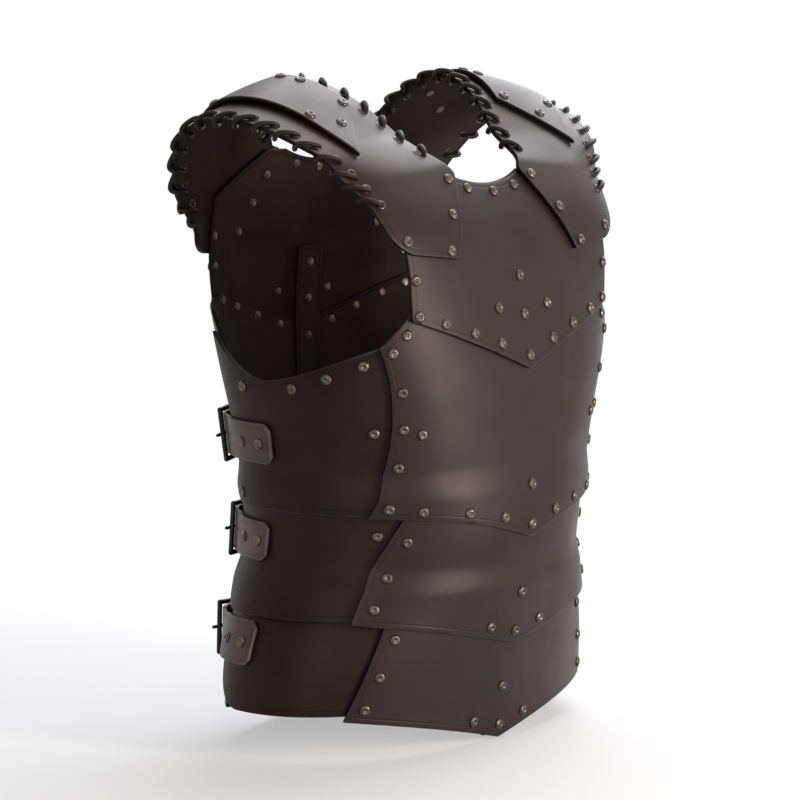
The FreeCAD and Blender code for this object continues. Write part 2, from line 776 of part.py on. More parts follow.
# These groups are made on the wearer's left and mirrored, so full-width plates get both holes.
mirrored_groups = ("side_rivets", "shoulder_rivets", "fastening_rivets")


# A rivet stands on the outermost leather at a point; its stack reaches down to the innermost one.
def set_rivet(group, point, outward, stack, drilled):
    turn = Rotation(Vector(0, 0, 1), outward)
    rivet = rivet_solid(stack)
    rivet.Placement = Placement(point, turn)
    rivets.setdefault(group, []).append(rivet)
    start = point + outward * leather
    drill = Part.makeCylinder(shank_drill, stack + 3 * leather, start, outward * -1)
    for name in drilled:
        holes.setdefault(name, []).append(drill)
        if group in mirrored_groups and name[0] in ("front", "back"):
            holes[name].append(mirrored_x(drill))


strip_lift = {"front": 2 * layer - size("strip_gap") - size("thin_leather"),
              "back": -size("strip_gap") - size("thin_leather")}
rivet_edge = size("rivet_edge")

# Rows along the V feet. Shares of the foot's half width, and the share that the V has risen there.
yoke_row_shares = (0, 0.266, 0.509, 0.752, 0.95)
chest_row_shares = (0, 0.235, 0.49, 0.76)
lame_row_shares = (0, 0.21)


def foot_level(foot, across):
    tip, corner, half_width, bow = foot
    share = abs(across) / half_width
    return mix(tip, corner, share) + 4 * bow * share * (1 - share)



# A long thin strip riveted inside the front or the back, along the middle
def inner_strip(column):
    half = size("strip_width") / 2

    def surface(u, v, side):
        level = mix(size("strip_foot_level"), size("strip_head_level"), v)
        lift = strip_lift[column] + side * size("thin_leather")
        edge = angle_at_x(half, level, lift, column == "front")
        return lifted(mix(edge, far_side(column, edge), u), level, lift)

    return sheet_solid(surface, 4, 32)


for column in ("front", "back"):
    plates[column, "strip"] = inner_strip(column)


# The angle and level at which a lifted surface passes a given X and true height
def spot_at(across, height, lift_at, front):
    level = height
    for _ in range(4):
        angle = angle_at_x(across, level, lift_at(level), front)
        if not across:
            angle = quarter_turn if front else -quarter_turn
        level -= lifted(angle, level, lift_at(level)).z - height
    return angle, level


# A rivet on the wearer's left and its mirror image on the right, or one on the centre line
def pair_rivet(group, column, across, height, outer, inner, strip=False, tongue=None):
    def face_lift(level):
        return lift_of(column, outer, level) + leather

    angle, level = spot_at(across, height, face_lift, column == "front")
    outer_lift = face_lift(level)
    inner_lift = strip_lift[column] if strip else lift_of(column, inner or outer, level)
    if tongue:
        inner_lift = lift_of(*tongue, level)
    for one in (angle, far_side(column, angle)) if across else (angle,):
        drilled = [(column, outer)] + ([(column, inner)] if inner else [])
        drilled += [(column, "strip")] if strip else []
        drilled += [tongue] if tongue and one == angle else []
        outward = plate_normal(column, outer, one, level)
        if strip:
            outward = (outward + skin_normal(one, level)).normalize()
        set_rivet(group, plate_point(column, outer, one, level), outward,
                  outer_lift - inner_lift, drilled)


def side_rivet(group, angle, level, outer, inner_lift, drilled):
    outer_lift = lift_of(*outer, level) + leather
    set_rivet(group, plate_point(*outer, angle, level), plate_normal(*outer, angle, level),
              outer_lift - inner_lift, drilled)


tier_order = {"yoke": "plate", "plate": "upper", "upper": "lower", "lower": None}
triangle_rise = 3 * rivet_edge
# Levels of the side rivets, as shares of the rise from a tier's foot corner to its head
side_row_shares = {"plate": (0.075, 0.31, 0.535, 0.75, 0.975), "upper": (0.12, 0.44, 0.78),
                   "lower": (0.126, 0.458, 0.83)}
# Rivets on the yoke, a diamond above its tip and one by each armhole: shares across and up it
yoke_field_shares = ((0, 0.55), (0, 0.32), (0.252, 0.37), (0.97, 0.57))
for column in ("front", "back"):
    group = column + "_rivets"
    for foot, shares, outer in ((yoke_foot, yoke_row_shares, "yoke"),
                                (tier_foot(column, "plate"), chest_row_shares, "plate"),
                                (tier_foot(column, "upper"), lame_row_shares, "upper"),
                                (tier_foot(column, "lower"), lame_row_shares, "lower")):
        below = tier_order[outer]
        for share in shares:
            across = share * foot[2]
            level = foot_level(foot, across) + rivet_edge * (1 - 0.5 * share)
            reached = outer == "plate" and column == "front" and share == shares[-1]
            pair_rivet(group, column, across, level, outer, below, share == 0,
                       ("side", below) if reached else None)
        if outer != "yoke":
            level = foot[0] + rivet_edge + triangle_rise
            through = below if below and level < tier_heads[outer] else None
            pair_rivet(group, column, 0, level, outer, through, True)
    yoke_group = column + "_yoke_rivets"
    span = size("yoke_half_width")
    rise = size("yoke_shoulder_level") - size("yoke_tip_level")
    base = size("yoke_tip_level")
    for across_share, rise_share in yoke_field_shares:
        pair_rivet(yoke_group, column, across_share * span, base + rise_share * rise, "yoke", None,
                   not across_share)
    neck_foot = size(column + "_neck_level") - size("neck_rivet_inset")
    pair_rivet(yoke_group, column, 0, neck_foot, "yoke", None)
    sag = size("neck_corner_rise") * (size("neck_rivet_reach") / size("neck_half_width")) ** 2
    pair_rivet(yoke_group, column, size("neck_rivet_reach"), neck_foot + sag, "yoke", None)

# Rows down the side edges: through a front plate and the side plate under it, on both sides
for tier, edge_of in (("plate", chest_edge), ("upper", upper_lame_edge),
                      ("lower", lower_lame_edge)):
    corner = tier_foot("front", tier)[1]
    head = {"plate": size("chest_top_corner_level"), "upper": size("chest_corner_level"),
            "lower": size("upper_lame_corner_level")}[tier]
    inset = size("side_row_inset") if tier == "plate" else size("lame_row_inset")
    for share in side_row_shares[tier]:
        level = mix(corner, head, share)
        across = edge_of(level) - inset
        outer_lift = lift_of("front", tier, level) + leather
        angle = angle_at_x(across, level, outer_lift)
        for one in (angle, far_side("front", angle)):
            left = one == angle
            below = tier_order[tier]
            deep = below and level < tier_heads[tier]
            inner = below if deep else tier
            drilled = [("front", tier)] + ([("side", tier)] if left else [])
            drilled += [("side", below)] if left and deep else []
            set_rivet("front_rivets", plate_point("front", tier, one, level),
                      plate_normal("front", tier, one, level),
                      outer_lift - lift_of("side", inner, level), drilled)
second_row_share = 0.49
level = mix(size("chest_corner_level"), size("chest_top_corner_level"), second_row_share)
pair_rivet("front_rivets", "front", chest_edge(level) - size("second_row_inset"), level,
           "plate", None)
level = size("yoke_corner_level") - rivet_edge
pair_rivet("front_rivets", "front", size("yoke_half_width") + leather / 2, level, "plate", None)

# Side plates: a row under the armhole and single rivets beside the front plates' edges
arm_row_shares = (-0.22, 0.29, 0.58, 0.82)
armhole_steepness = 1.6
for share in arm_row_shares:
    depth = mix(size("armhole_dip_back"), -size("armhole_front_depth"), share)
    rise = size("armhole_front_level") - size("armhole_level")
    level = size("armhole_level") + rise * abs(share) ** armhole_steepness - size("side_row_inset")
    angle = angle_at_y(depth, level, lift_of("side", "plate", level) + leather)
    side_rivet("side_rivets", angle, level, ("side", "plate"),
               lift_of("side", "plate", level), [("side", "plate")])
for tier, level_share, head in (("plate", 0.51, "chest_top_corner_level"),
                                ("upper", 0.83, "chest_corner_level")):
    level = mix(tier_foot("front", tier)[1], size(head), level_share)
    angle = front_edge_angle(tier, level) - math.degrees(1.2 * size("side_row_inset")
                                                         / size("chest_edge_half_width"))
    side_rivet("side_rivets", angle, level, ("side", tier), lift_of("side", tier, level),
               [("side", tier)])
level = size("side_panel_foot_level") + rivet_edge
angle = angle_at_y(size("panel_rear_depth") - size("panel_corner_radius"), level,
                   lift_of("side", "plate", level) + leather)
side_rivet("side_rivets", angle, level, ("side", "plate"), lift_of("side", "upper", level),
           [("side", "plate"), ("side", "upper")])

# Shoulder strap feet: rivets down the neck side and one at the arm side, through the yoke
foot_across_shares = {"front": (0.266, 0.343, 0.417, 0.636), "back": (0.318, 0.374, 0.44, 0.62)}
foot_rise_shares = {"front": (0.455, 0.273, 0.083, 0.146), "back": (0.45, 0.29, 0.125, 0.115)}
for column in ("front", "back"):
    lift = (strap_lift if column == "front" else back_strap_lift) + leather
    for across_share, rise_share in zip(foot_across_shares[column], foot_rise_shares[column]):
        height = size("shoulder_foot_level") + rise_share * shoulder_rise
        angle, level = spot_at(across_share * size("shoulder_reach"), height,
                               lambda level: lift, column == "front")
        set_rivet("shoulder_rivets", lifted(angle, level, lift), skin_normal(angle, level),
                  lift - lift_of(column, "yoke", level), [(column, "yoke"), "strap"])

# Shoulder cap: rivets near its corners, mirrored from the front end to the rear end
cap_rivet_shares = ((0.07, 0.14), (0.07, 0.6), (0.24, 0.88), (0.42, 0.12))
for along, across in cap_rivet_shares:
    for u in (along, 1 - along):
        stack = 2 * leather + size("cap_seat_gap") + size("cap_arch") * math.sin(math.pi * u) ** 2
        outward = (cap_normal(u, across) + cap_strap_normal(u, across)).normalize()
        set_rivet("shoulder_rivets", cap_point(u, across, 1), outward, stack, ["strap", "cap"])


# Side fastenings, on the wearer's left. Reaches are measured along the torso from its side.
@lru_cache(maxsize=None)
def reach_table(level, lift):
    table = [(0.0, 0.0)]
    angle, reach = 0.0, 0.0
    here = lifted(angle, level, lift)
    while angle > -120:
        angle -= 1
        ahead = lifted(angle, level, lift)
        reach += here.distanceToPoint(ahead)
        table.append((reach, angle))
        here = ahead
    return table


def angle_at_reach(reach, level):
    table = reach_table(level, 0.0)
    for (near, first), (far, second) in zip(table, table[1:]):
        if far >= reach:
            break
    return mix(first, second, (reach - near) / (far - near))


def beside(reach, lift, level):
    return lifted(angle_at_reach(reach, level), level, lift)


def side_block(middle, first, last, half_width, low_lift, high_lift, steps):
    def surface(u, v, side):
        reach = mix(first, last, u)
        level = middle + mix(-half_width, half_width, v)
        lift = mix(low_lift(level), high_lift(level), side)
        return beside(reach, lift, level)

    return sheet_solid(surface, steps, 8)


bar = size("bar_radius")
tab_thickness = 2 * size("tab_leather")
loop_radius = bar + size("loop_gap") + size("tab_leather")
heel_reach = size("heel_reach")
half_billet = size("billet_width") / 2
bar_span = size("frame_inner_length") + 2 * bar


# Lifts of a fastening's layers at a height on the plates of its tier
def tab_lift(tier, level):
    return lift_of("back", tier, level) + leather + size("tab_seat_gap")


def heel_lift(tier, level):
    return tab_lift(tier, level) + loop_radius


def keeper_lift(tier, level):
    return tab_lift(tier, level) + (tab_thickness - size("keeper_leather")) / 2


def tail_lift(tier, level):
    return tab_lift(tier, level) + tab_thickness + size("billet_seat_gap")


# The billet lies on the side plate, climbs under the front bar and over the heel bar, then
# lies on the tab.
def billet_lift(tier, reach, level):
    lying = lift_of("side", tier, level) + leather + size("billet_seat_gap")
    over_loop = heel_lift(tier, level) + loop_radius + size("billet_loop_gap")
    climb = smooth((reach - (heel_reach - 1.5 * bar_span)) / (1.3 * bar_span))
    drop = smooth((reach - heel_reach - bar) / (0.75 * bar_span))
    return mix(mix(lying, over_loop, climb), tail_lift(tier, level), drop)


def raised(base, tier, extra=0.0):
    def lift(level):
        return base(tier, level) + extra
    return lift


# A fastening's own frame: its origin is the middle of the heel bar, X points to the front bar,
# Z along the bar and Y out of the body.
def buckle_frame_of(tier, level):
    heel, above, below = [beside(heel_reach, heel_lift(tier, spot), spot)
                          for spot in (level, level + half_billet, level - half_billet)]
    up = (above - below).normalize()
    near, far = heel_reach - 1.4 * bar_span, heel_reach - 0.6 * bar_span
    for _ in range(24):
        middle = (near + far) / 2
        lift = billet_lift(tier, middle, level) + size("billet_thickness")
        lift += size("bar_seat_gap") + bar
        front = beside(middle, lift, level)
        if front.distanceToPoint(heel) > bar_span:
            near = middle
        else:
            far = middle
    ahead = (front - heel).normalize()
    up = (up - ahead * up.dot(ahead)).normalize()
    out = up.cross(ahead)
    matrix = Matrix(ahead.x, out.x, up.x, heel.x, ahead.y, out.y, up.y, heel.y,
                    ahead.z, out.z, up.z, heel.z, 0, 0, 0, 1)
    return Placement(matrix)


def make_tab(tier, middle, place):
    last = heel_reach + size("tab_reach")
    tail = side_block(middle, heel_reach, last, half_billet, raised(tab_lift, tier),
                      raised(tab_lift, tier, tab_thickness), 14)
    start = Vector(0, 0, -half_billet)
    up = Vector(0, 0, 1)
    loop = Part.makeCylinder(loop_radius, 2 * half_billet, start, up)
    bore = Part.makeCylinder(bar + size("loop_gap"), 2 * half_billet + 2 * leather,
                             start - up * leather, up)
    slot_half = size("prong_ring_width") / 2 + size("prong_slot_gap")
    slot = Part.makeBox(2 * bar_span, 4 * loop_radius, 2 * slot_half,
                        Vector(-loop_radius, -2 * loop_radius, -slot_half))
    for shape in (loop, bore, slot):
        shape.Placement = place
    keeper_first = heel_reach + size("keeper_reach") - size("keeper_width") / 2
    clear = size("keeper_gap") / 2
    band = side_block(middle, keeper_first - clear, keeper_first + size("keeper_width") + clear,
                      half_billet + leather, raised(keeper_lift, tier, -clear),
                      raised(keeper_lift, tier, size("keeper_leather") + clear), 4)
    return single(tail.fuse(loop).cut([bore, slot, band]))


def make_keeper(tier, middle):
    first = heel_reach + size("keeper_reach") - size("keeper_width") / 2
    last = first + size("keeper_width")
    wall = size("keeper_leather")
    inner_half = half_billet + size("keeper_gap")
    roof = size("billet_thickness") + size("keeper_gap")
    outer = side_block(middle, first, last, inner_half + wall, raised(keeper_lift, tier),
                       raised(tail_lift, tier, roof + wall), 4)
    inner = side_block(middle, first - leather, last + leather, inner_half,
                       raised(keeper_lift, tier, wall), raised(tail_lift, tier, roof), 4)
    return single(outer.cut(inner))


# A point of the billet: it follows the body, but runs straight along the bars at the buckle.
def billet_point(tier, middle, up, reach, offset, lift):
    bent = beside(reach, billet_lift(tier, reach, middle + offset) + lift, middle + offset)
    straight = beside(reach, billet_lift(tier, reach, middle) + lift, middle) + up * offset
    near = smooth((reach - heel_reach + 2.2 * bar_span) / bar_span)
    far = smooth((heel_reach + 1.2 * bar_span - reach) / bar_span)
    return bent + (straight - bent) * (near * far)


def make_billet(tier, middle, first, place):
    last = heel_reach + size("billet_tip_reach")
    up = place.Rotation.multVec(Vector(0, 0, 1))

    def surface(u, v, side):
        return billet_point(tier, middle, up, mix(first, last, u),
                            mix(-half_billet, half_billet, v), side * size("billet_thickness"))

    blank = sheet_solid(surface, 40, 8)
    slot_half = size("prong_ring_width") / 2 + size("prong_slot_gap") / 2
    reach = 0.85 * bar_span
    slot = Part.makeBox(reach - slot_half, 8 * bar, 2 * slot_half,
                        Vector(-slot_half, -2 * bar, -slot_half))
    cap_end = Part.makeCylinder(slot_half, 8 * bar, Vector(reach - 2 * slot_half, -2 * bar, 0),
                                Vector(0, 1, 0))
    slot = slot.fuse(cap_end)
    slot.Placement = place
    cuts = [slot]
    for end, way in ((first, 1), (last, -1)):
        for side in (1, -1):
            cuts.append(corner_wedge(end, way, side, middle))
    return single(blank.cut(cuts))


# A three-cornered prism that clips a billet's corner
def corner_wedge(end, way, side, middle):
    clip = size("billet_clip")
    edge = middle + side * half_billet
    outward = skin_normal(angle_at_reach(end, middle), middle)
    corners = [beside(end + way * clip, 0, edge), beside(end, 0, edge - side * clip),
               beside(end - way * clip, 0, edge + side * clip)]
    flat = [corner - outward * (corner - corners[0]).dot(outward) for corner in corners]
    face = Part.Face(Part.makePolygon(flat + flat[:1]))
    return face.extrude(outward * 10 * leather)


fastenings = {}
for name in ("top", "middle", "low"):
    level = size(name + "_buckle_level")
    tier = {"top": "plate", "middle": "upper", "low": "lower"}[name]
    place = buckle_frame_of(tier, level)
    lift = lift_of("side", tier, level) + leather
    start_angle = angle_at_y(size(name + "_billet_start"), level, lift)
    first = next(reach for reach, angle in reach_table(level, 0.0) if angle <= start_angle)
    billet = make_billet(tier, level, first, place)
    tab = make_tab(tier, level, place)
    keeper = make_keeper(tier, level)
    fastenings[name] = (place, billet, tab, keeper)
    for reach in (first + size("billet_rivet_inset"),
                  first + size("billet_rivet_inset") + size("billet_rivet_spacing")):
        outer = billet_lift(tier, reach, level) + size("billet_thickness")
        set_rivet("fastening_rivets", beside(reach, outer, level),
                  skin_normal(angle_at_reach(reach, level), level),
                  outer - lift_of("side", tier, level), [("side", tier), "billet_" + name])
    reach = heel_reach + size("tab_reach") - size("tab_rivet_inset")
    for side in (1, -1):
        spot = level + side * size("tab_rivet_spread") / 2
        outer = tab_lift(tier, spot) + tab_thickness
        set_rivet("fastening_rivets", beside(reach, outer, spot),
                  skin_normal(angle_at_reach(reach, spot), spot),
                  outer - lift_of("back", tier, spot), [("back", tier), "tab_" + name])

# The hidden front corners of the back plates end behind the side lames' hidden heads.
for tier, above, rear in (("plate", "plate", "panel_rear_depth"),
                          ("upper", "upper", "lower_rear_depth")):
    top = tier_heads[above] + size("tongue_gap")
    behind = size(rear) + size("tongue_gap")
    corner = prism((-overrun, -overrun), [(behind, -overrun), (behind, top), (-overrun, top),
                                          (-overrun, -overrun)], "YZ")
    plates["back", tier] = single(plates["back", tier].cut(corner))

# The back's armholes, cut through both its upper plates on the left and on the right
foot_point = (size("back_armhole_foot_depth"), size("back_armhole_foot_level"))
head_point = (size("back_armhole_head_depth"), size("back_armhole_head_level"))
ahead = -size("shoulder_reach")
for side_low, side_high in ((0, size("shoulder_reach")), (-size("shoulder_reach"), 0)):
    armhole = prism(foot_point, [bowed(foot_point, head_point, -size("back_armhole_bow")),
                                 (head_point[0], head_point[1] + 2 * overrun),
                                 (ahead, head_point[1] + 2 * overrun),
                                 (ahead, foot_point[1]), foot_point], "YZ", side_low, side_high)
    for tier in ("plate", "yoke"):
        plates["back", tier] = single(plates["back", tier].cut(armhole))


# The document's objects, one for each node, after their rivet holes are drilled
nodes = []


def add_node(name, shape, placement=None):
    node = doc.addObject("Part::Feature", name)
    node.Label = name
    node.Shape = shape
    node.Placement = placement or Placement()
    nodes.append(node)


def bored(shape, name):
    return single(shape.cut(holes[name])) if name in holes else shape


def add_pair(name, shape):
    add_node(name + "_L", shape)
    add_node(name + "_R", mirrored_x(shape))


plate_names = {("front", "yoke"): "chest_yoke", ("front", "plate"): "chest_plate",
               ("front", "upper"): "belly_lame_upper", ("front", "lower"): "belly_lame_lower",
               ("front", "strip"): "front_inner_strap", ("back", "yoke"): "back_yoke",
               ("back", "plate"): "back_plate", ("back", "upper"): "back_lame_upper",
               ("back", "lower"): "back_lame_lower", ("back", "strip"): "back_inner_strap"}
side_names = {"plate": "side_panel", "upper": "side_lame_upper", "lower": "side_lame_lower"}
for key, name in plate_names.items():
    add_node(name, bored(plates[key], key))
for tier, name in side_names.items():
    add_pair(name, bored(plates["side", tier], ("side", tier)))
add_pair("shoulder_strap", bored(strap, "strap"))
add_pair("shoulder_cap", bored(cap, "cap"))
add_pair("arm_lace", arm_lace)
add_pair("neck_lace", neck_lace)
add_node("lace_eyelets", Part.makeCompound(eyelets + [mirrored_x(eyelet) for eyelet in eyelets]))
keepers = []
for name, (place, billet, tab, keeper) in fastenings.items():
    add_pair("billet_" + name, bored(billet, "billet_" + name))
    add_pair("buckle_tab_" + name, bored(tab, "tab_" + name))
    keepers += [keeper, mirrored_x(keeper)]
add_node("buckle_keepers", Part.makeCompound(keepers))
for name, found in rivets.items():
    if name in mirrored_groups:
        add_pair(name, Part.makeCompound(found))
    else:
        add_node(name, Part.makeCompound(found))


# Buckle frames and prongs, from primitives in the fastening's own frame
def bound(kind, name, **expressions):
    piece = doc.addObject(kind, name)
    for field, expression in expressions.items():
        piece.setExpression(field.replace("_", "."), expression)
    return piece


def set_place(piece, axis, **offsets):
    piece.Placement = Placement(Vector(), Rotation(Vector(0, 0, 1), axis))
    for way, expression in offsets.items():
        piece.setExpression(".Placement.Base." + way, expression)


half_bar = "(Sizes.frame_inner_width / 2 + Sizes.bar_radius)"
span = "(Sizes.frame_inner_length + 2 * Sizes.bar_radius)"
prong_height = "Sizes.bar_radius + Sizes.prong_seat_gap + Sizes.prong_radius"


def add_frame(name, placement):
    pieces = []
    for across in ("0", span):
        upright = bound("Part::Cylinder", name + "_bar", Radius="Sizes.bar_radius",
                        Height="2 * " + half_bar)
        set_place(upright, Vector(0, 0, 1), x=across, z="-" + half_bar)
        pieces.append(upright)
    for side in ("", "-"):
        rail = bound("Part::Cylinder", name + "_rail", Radius="Sizes.bar_radius", Height=span)
        set_place(rail, Vector(1, 0, 0), z=side + half_bar)
        pieces.append(rail)
        for across in ("0", span):
            corner = bound("Part::Sphere", name + "_corner", Radius="Sizes.bar_radius")
            set_place(corner, Vector(0, 0, 1), x=across, z=side + half_bar)
            pieces.append(corner)
    frame = doc.addObject("Part::MultiFuse", name)
    frame.Label = name
    frame.Shapes = pieces
    frame.Placement = placement
    nodes.append(frame)


def add_prong(name, placement):
    width = "Sizes.prong_ring_width"
    ring = bound("Part::Cylinder", name + "_ring", Height=width,
                 Radius="Sizes.bar_radius + Sizes.prong_running_gap + Sizes.prong_ring_wall")
    set_place(ring, Vector(0, 0, 1), z="-" + width + " / 2")
    shaft = bound("Part::Cylinder", name + "_shaft", Radius="Sizes.prong_radius",
                  Height=span + " + Sizes.prong_overhang")
    set_place(shaft, Vector(1, 0, 0), y=prong_height)
    tip = bound("Part::Sphere", name + "_tip", Radius="Sizes.prong_radius")
    set_place(tip, Vector(0, 0, 1), x=span + " + Sizes.prong_overhang", y=prong_height)
    whole = doc.addObject("Part::MultiFuse", name + "_whole")
    whole.Shapes = [ring, shaft, tip]
    eye = bound("Part::Cylinder", name + "_eye", Height="2 * " + width,
                Radius="Sizes.bar_radius + Sizes.prong_running_gap")
    set_place(eye, Vector(0, 0, 1), z="-" + width)
    prong = doc.addObject("Part::Cut", name)
    prong.Label = name
    prong.Base = whole
    prong.Tool = eye
    prong.Placement = placement
    nodes.append(prong)


# The mirror image of a fastening's frame: pieces that are alike above and below fit it.
def mirrored_place(place):
    flip_across, flip_up = Matrix(), Matrix()
    flip_across.scale(-1, 1, 1)
    flip_up.scale(1, 1, -1)
    return Placement(flip_across.multiply(place.Matrix).multiply(flip_up))


for name, (place, *_) in fastenings.items():
    for side, spot in (("_L", place), ("_R", mirrored_place(place))):
        add_frame("buckle_frame_" + name + side, spot)
        add_prong("buckle_prong_" + name + side, spot)
        axis = spot.Rotation.multVec(Vector(0, 0, 1))
        print("hinge", name + side, "at %.3f %.3f %.3f" % tuple(spot.Base),
              "axis %.5f %.5f %.5f" % tuple(axis))

doc.recompute()
os.makedirs("parts", exist_ok=True)
for item in doc.Objects:
    if "Invalid" in item.State or "Error" in item.State:
        raise RuntimeError(item.Name + " failed")
for node in nodes:
    if node.Shape.isNull() or not node.Shape.isValid():
        raise RuntimeError(node.Label + " has a bad shape")
for node in nodes:
    node.Shape.exportStep("parts/" + node.Label + ".step")
print(len(nodes), "nodes")
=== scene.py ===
import math

import bmesh
import bpy
import numpy as np
from mathutils import Matrix, Vector
from mathutils.kdtree import KDTree


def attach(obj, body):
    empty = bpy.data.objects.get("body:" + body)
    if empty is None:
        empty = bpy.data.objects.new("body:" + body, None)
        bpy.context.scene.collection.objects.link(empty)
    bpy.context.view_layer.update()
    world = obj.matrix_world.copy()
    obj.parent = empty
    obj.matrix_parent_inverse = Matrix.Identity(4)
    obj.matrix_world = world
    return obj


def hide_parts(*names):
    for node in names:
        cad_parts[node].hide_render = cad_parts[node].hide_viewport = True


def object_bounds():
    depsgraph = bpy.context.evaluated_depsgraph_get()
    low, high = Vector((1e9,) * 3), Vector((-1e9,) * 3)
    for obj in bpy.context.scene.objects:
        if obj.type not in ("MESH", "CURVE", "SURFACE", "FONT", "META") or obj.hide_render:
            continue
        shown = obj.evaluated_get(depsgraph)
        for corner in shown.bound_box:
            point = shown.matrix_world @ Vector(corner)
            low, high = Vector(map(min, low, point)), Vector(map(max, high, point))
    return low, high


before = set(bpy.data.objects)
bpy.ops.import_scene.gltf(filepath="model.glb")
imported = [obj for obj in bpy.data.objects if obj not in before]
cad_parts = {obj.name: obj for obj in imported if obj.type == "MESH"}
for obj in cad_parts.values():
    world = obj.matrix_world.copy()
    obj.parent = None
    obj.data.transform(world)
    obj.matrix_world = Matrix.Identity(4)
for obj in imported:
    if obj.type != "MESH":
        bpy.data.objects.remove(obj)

cad_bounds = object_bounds()

# Leather cuirass. Shapes are worked out in millimetres on the same torso as the solids: the
# leathers' thickness, the room between two layers, and how far loose parts stand off or arch.
MM = 0.001
LEATHER, INNER_STRIP = 3.6, 2.4
LAYER, INNER_GAP = 4.0, 0.3
STRAP_SEAT, STRAP_CROWN = 0.5, 4
CAP_SEAT, CAP_ARCH = 0.4, 2

# Torso inside the leather: level, half width, depth to the front and back, setback, squareness
TORSO = np.array([
    (-14, 174, 89, 92, 10, 2.2), (30, 174, 91, 94, 10, 2.2), (80, 167, 96, 100, 6, 2.15),
    (130, 148, 104, 107, 4, 2.1), (170, 142, 109, 110, 1, 2.1), (210, 145, 106, 112, -3, 2.2),
    (260, 153, 105, 115, -4, 2.4), (300, 160, 103, 117, -4, 2.7), (345, 166, 96, 116, -3, 3.2),
    (400, 166, 85, 109, -2, 4.2), (450, 160, 53, 96, -2, 4.4), (500, 150, 19, 76, -2, 4.0)])


def mix(first, second, share):
    return first + (second - first) * share


def smooth(share):
    share = np.clip(share, 0.0, 1.0)
    return share * share * (3 - 2 * share)


# Smooth interpolation of rows between their keys
def between(keys, rows, key):
    keys, rows = np.asarray(keys, float), np.asarray(rows, float)
    index = np.clip(np.searchsorted(keys, key, side="left") - 1, 0, len(keys) - 2)
    low = np.maximum(np.arange(len(keys)) - 1, 0)
    high = np.minimum(np.arange(len(keys)) + 1, len(keys) - 1)
    slopes = (rows[high] - rows[low]) / (keys[high] - keys[low])[:, None]
    span = keys[index + 1] - keys[index]
    step = ((key - keys[index]) / span)[:, None]
    span = span[:, None]
    return (rows[index] * (1 + 2 * step) * (1 - step) ** 2
            + slopes[index] * span * step * (1 - step) ** 2
            + rows[index + 1] * step ** 2 * (3 - 2 * step)
            - slopes[index + 1] * span * step ** 2 * (1 - step))


def torso_at(level):
    return between(TORSO[:, 0], TORSO[:, 1:], level).T


# The torso's surface: the angle is 0 at the wearer's left, 90 at the front and -90 at the back
def skin(angle, level):
    angle, level = np.broadcast_arrays(np.atleast_1d(angle).astype(float),
                                       np.atleast_1d(level).astype(float))
    half_width, front, back, setback, power = torso_at(level)
    depth = np.where(angle > 0, front, back)
    turn = np.radians(angle)
    across, along = np.cos(turn), np.sin(turn)
    reach = (np.abs(across / half_width) ** power + np.abs(along / depth) ** power) ** (-1 / power)
    return np.stack([reach * across, setback - reach * along, level], axis=1)


def unit(vectors):
    return vectors / np.linalg.norm(vectors, axis=1)[:, None]


def skin_normal(angle, level):
    round_step = skin(angle - 0.5, level) - skin(angle + 0.5, level)
    rise_step = skin(angle, level + 0.04) - skin(angle, level - 0.04)
    return unit(np.cross(round_step, rise_step))


def lifted(angle, level, lift):
    lift = np.broadcast_to(lift, np.broadcast(angle, level).shape)
    return skin(angle, level) + skin_normal(angle, level) * np.atleast_1d(lift)[:, None]


# The angle at which the lifted torso reaches a given X or Y, from a first guess
def angle_where(axis, value, level, lift, guess):
    before, angle = guess - 0.4, guess
    miss_before = lifted(before, level, lift)[:, axis] - value
    for _ in range(5):
        miss = lifted(angle, level, lift)[:, axis] - value
        slope = (miss - miss_before) / np.where(angle == before, 1, angle - before)
        step = np.clip(-miss / np.where(np.abs(slope) < 1e-6, 1, slope), -6, 6)
        before, miss_before, angle = angle, miss, angle + step
    return angle


def as_rows(*values):
    return np.broadcast_arrays(*(np.atleast_1d(value).astype(float) for value in values))


def angle_at_x(value, level, lift, front=True):
    value, level, lift = as_rows(value, level, lift)
    across = np.abs(value)
    half_width, fore, back, setback, power = torso_at(level)
    share = np.clip(across / (half_width + lift), 0, 0.995)
    depth = (fore if front else back) + lift
    guess = np.degrees(np.arctan2(depth * (1 - share ** power) ** (1 / power), across))
    angle = angle_where(0, across, level, lift, guess if front else -guess)
    return np.where(value < 0, (180 if front else -180) - angle, angle)


def angle_at_y(value, level, lift):
    value, level, lift = as_rows(value, level, lift)
    half_width, fore, back, setback, power = torso_at(level)
    reach = setback - value
    depth = np.where(reach > 0, fore, back) + lift
    share = np.clip(np.abs(reach) / depth, 0, 0.98)
    guess = np.degrees(np.arctan2(reach, (half_width + lift) * (1 - share ** power) ** (1 / power)))
    return angle_where(1, value, level, lift, guess)


# Layers: back plates innermost, side plates over them, front plates over those.
# Each tier sheds over the next one, a layer further out up to that tier's hidden head.
COLUMN_LAYERS = {"back": 0, "side": 1, "front": 2}
UPPER_HEAD, LOWER_HEAD = 202, 126
NEXT_HEADS = {"plate": UPPER_HEAD, "upper": LOWER_HEAD}
SHED_BLEND, HEAD_ROOM = 24, 0.4


def lift_of(column, tier, level):
    level = np.atleast_1d(level).astype(float)
    shed = np.full(level.shape, 1.0 if tier == "yoke" else 0.0)
    if tier in NEXT_HEADS:
        shed = 1 - smooth((level - NEXT_HEADS[tier] - HEAD_ROOM) / SHED_BLEND)
    return (COLUMN_LAYERS[column] + shed) * LAYER


def pairs(first, second):
    return np.stack(np.broadcast_arrays(first, second), axis=1)


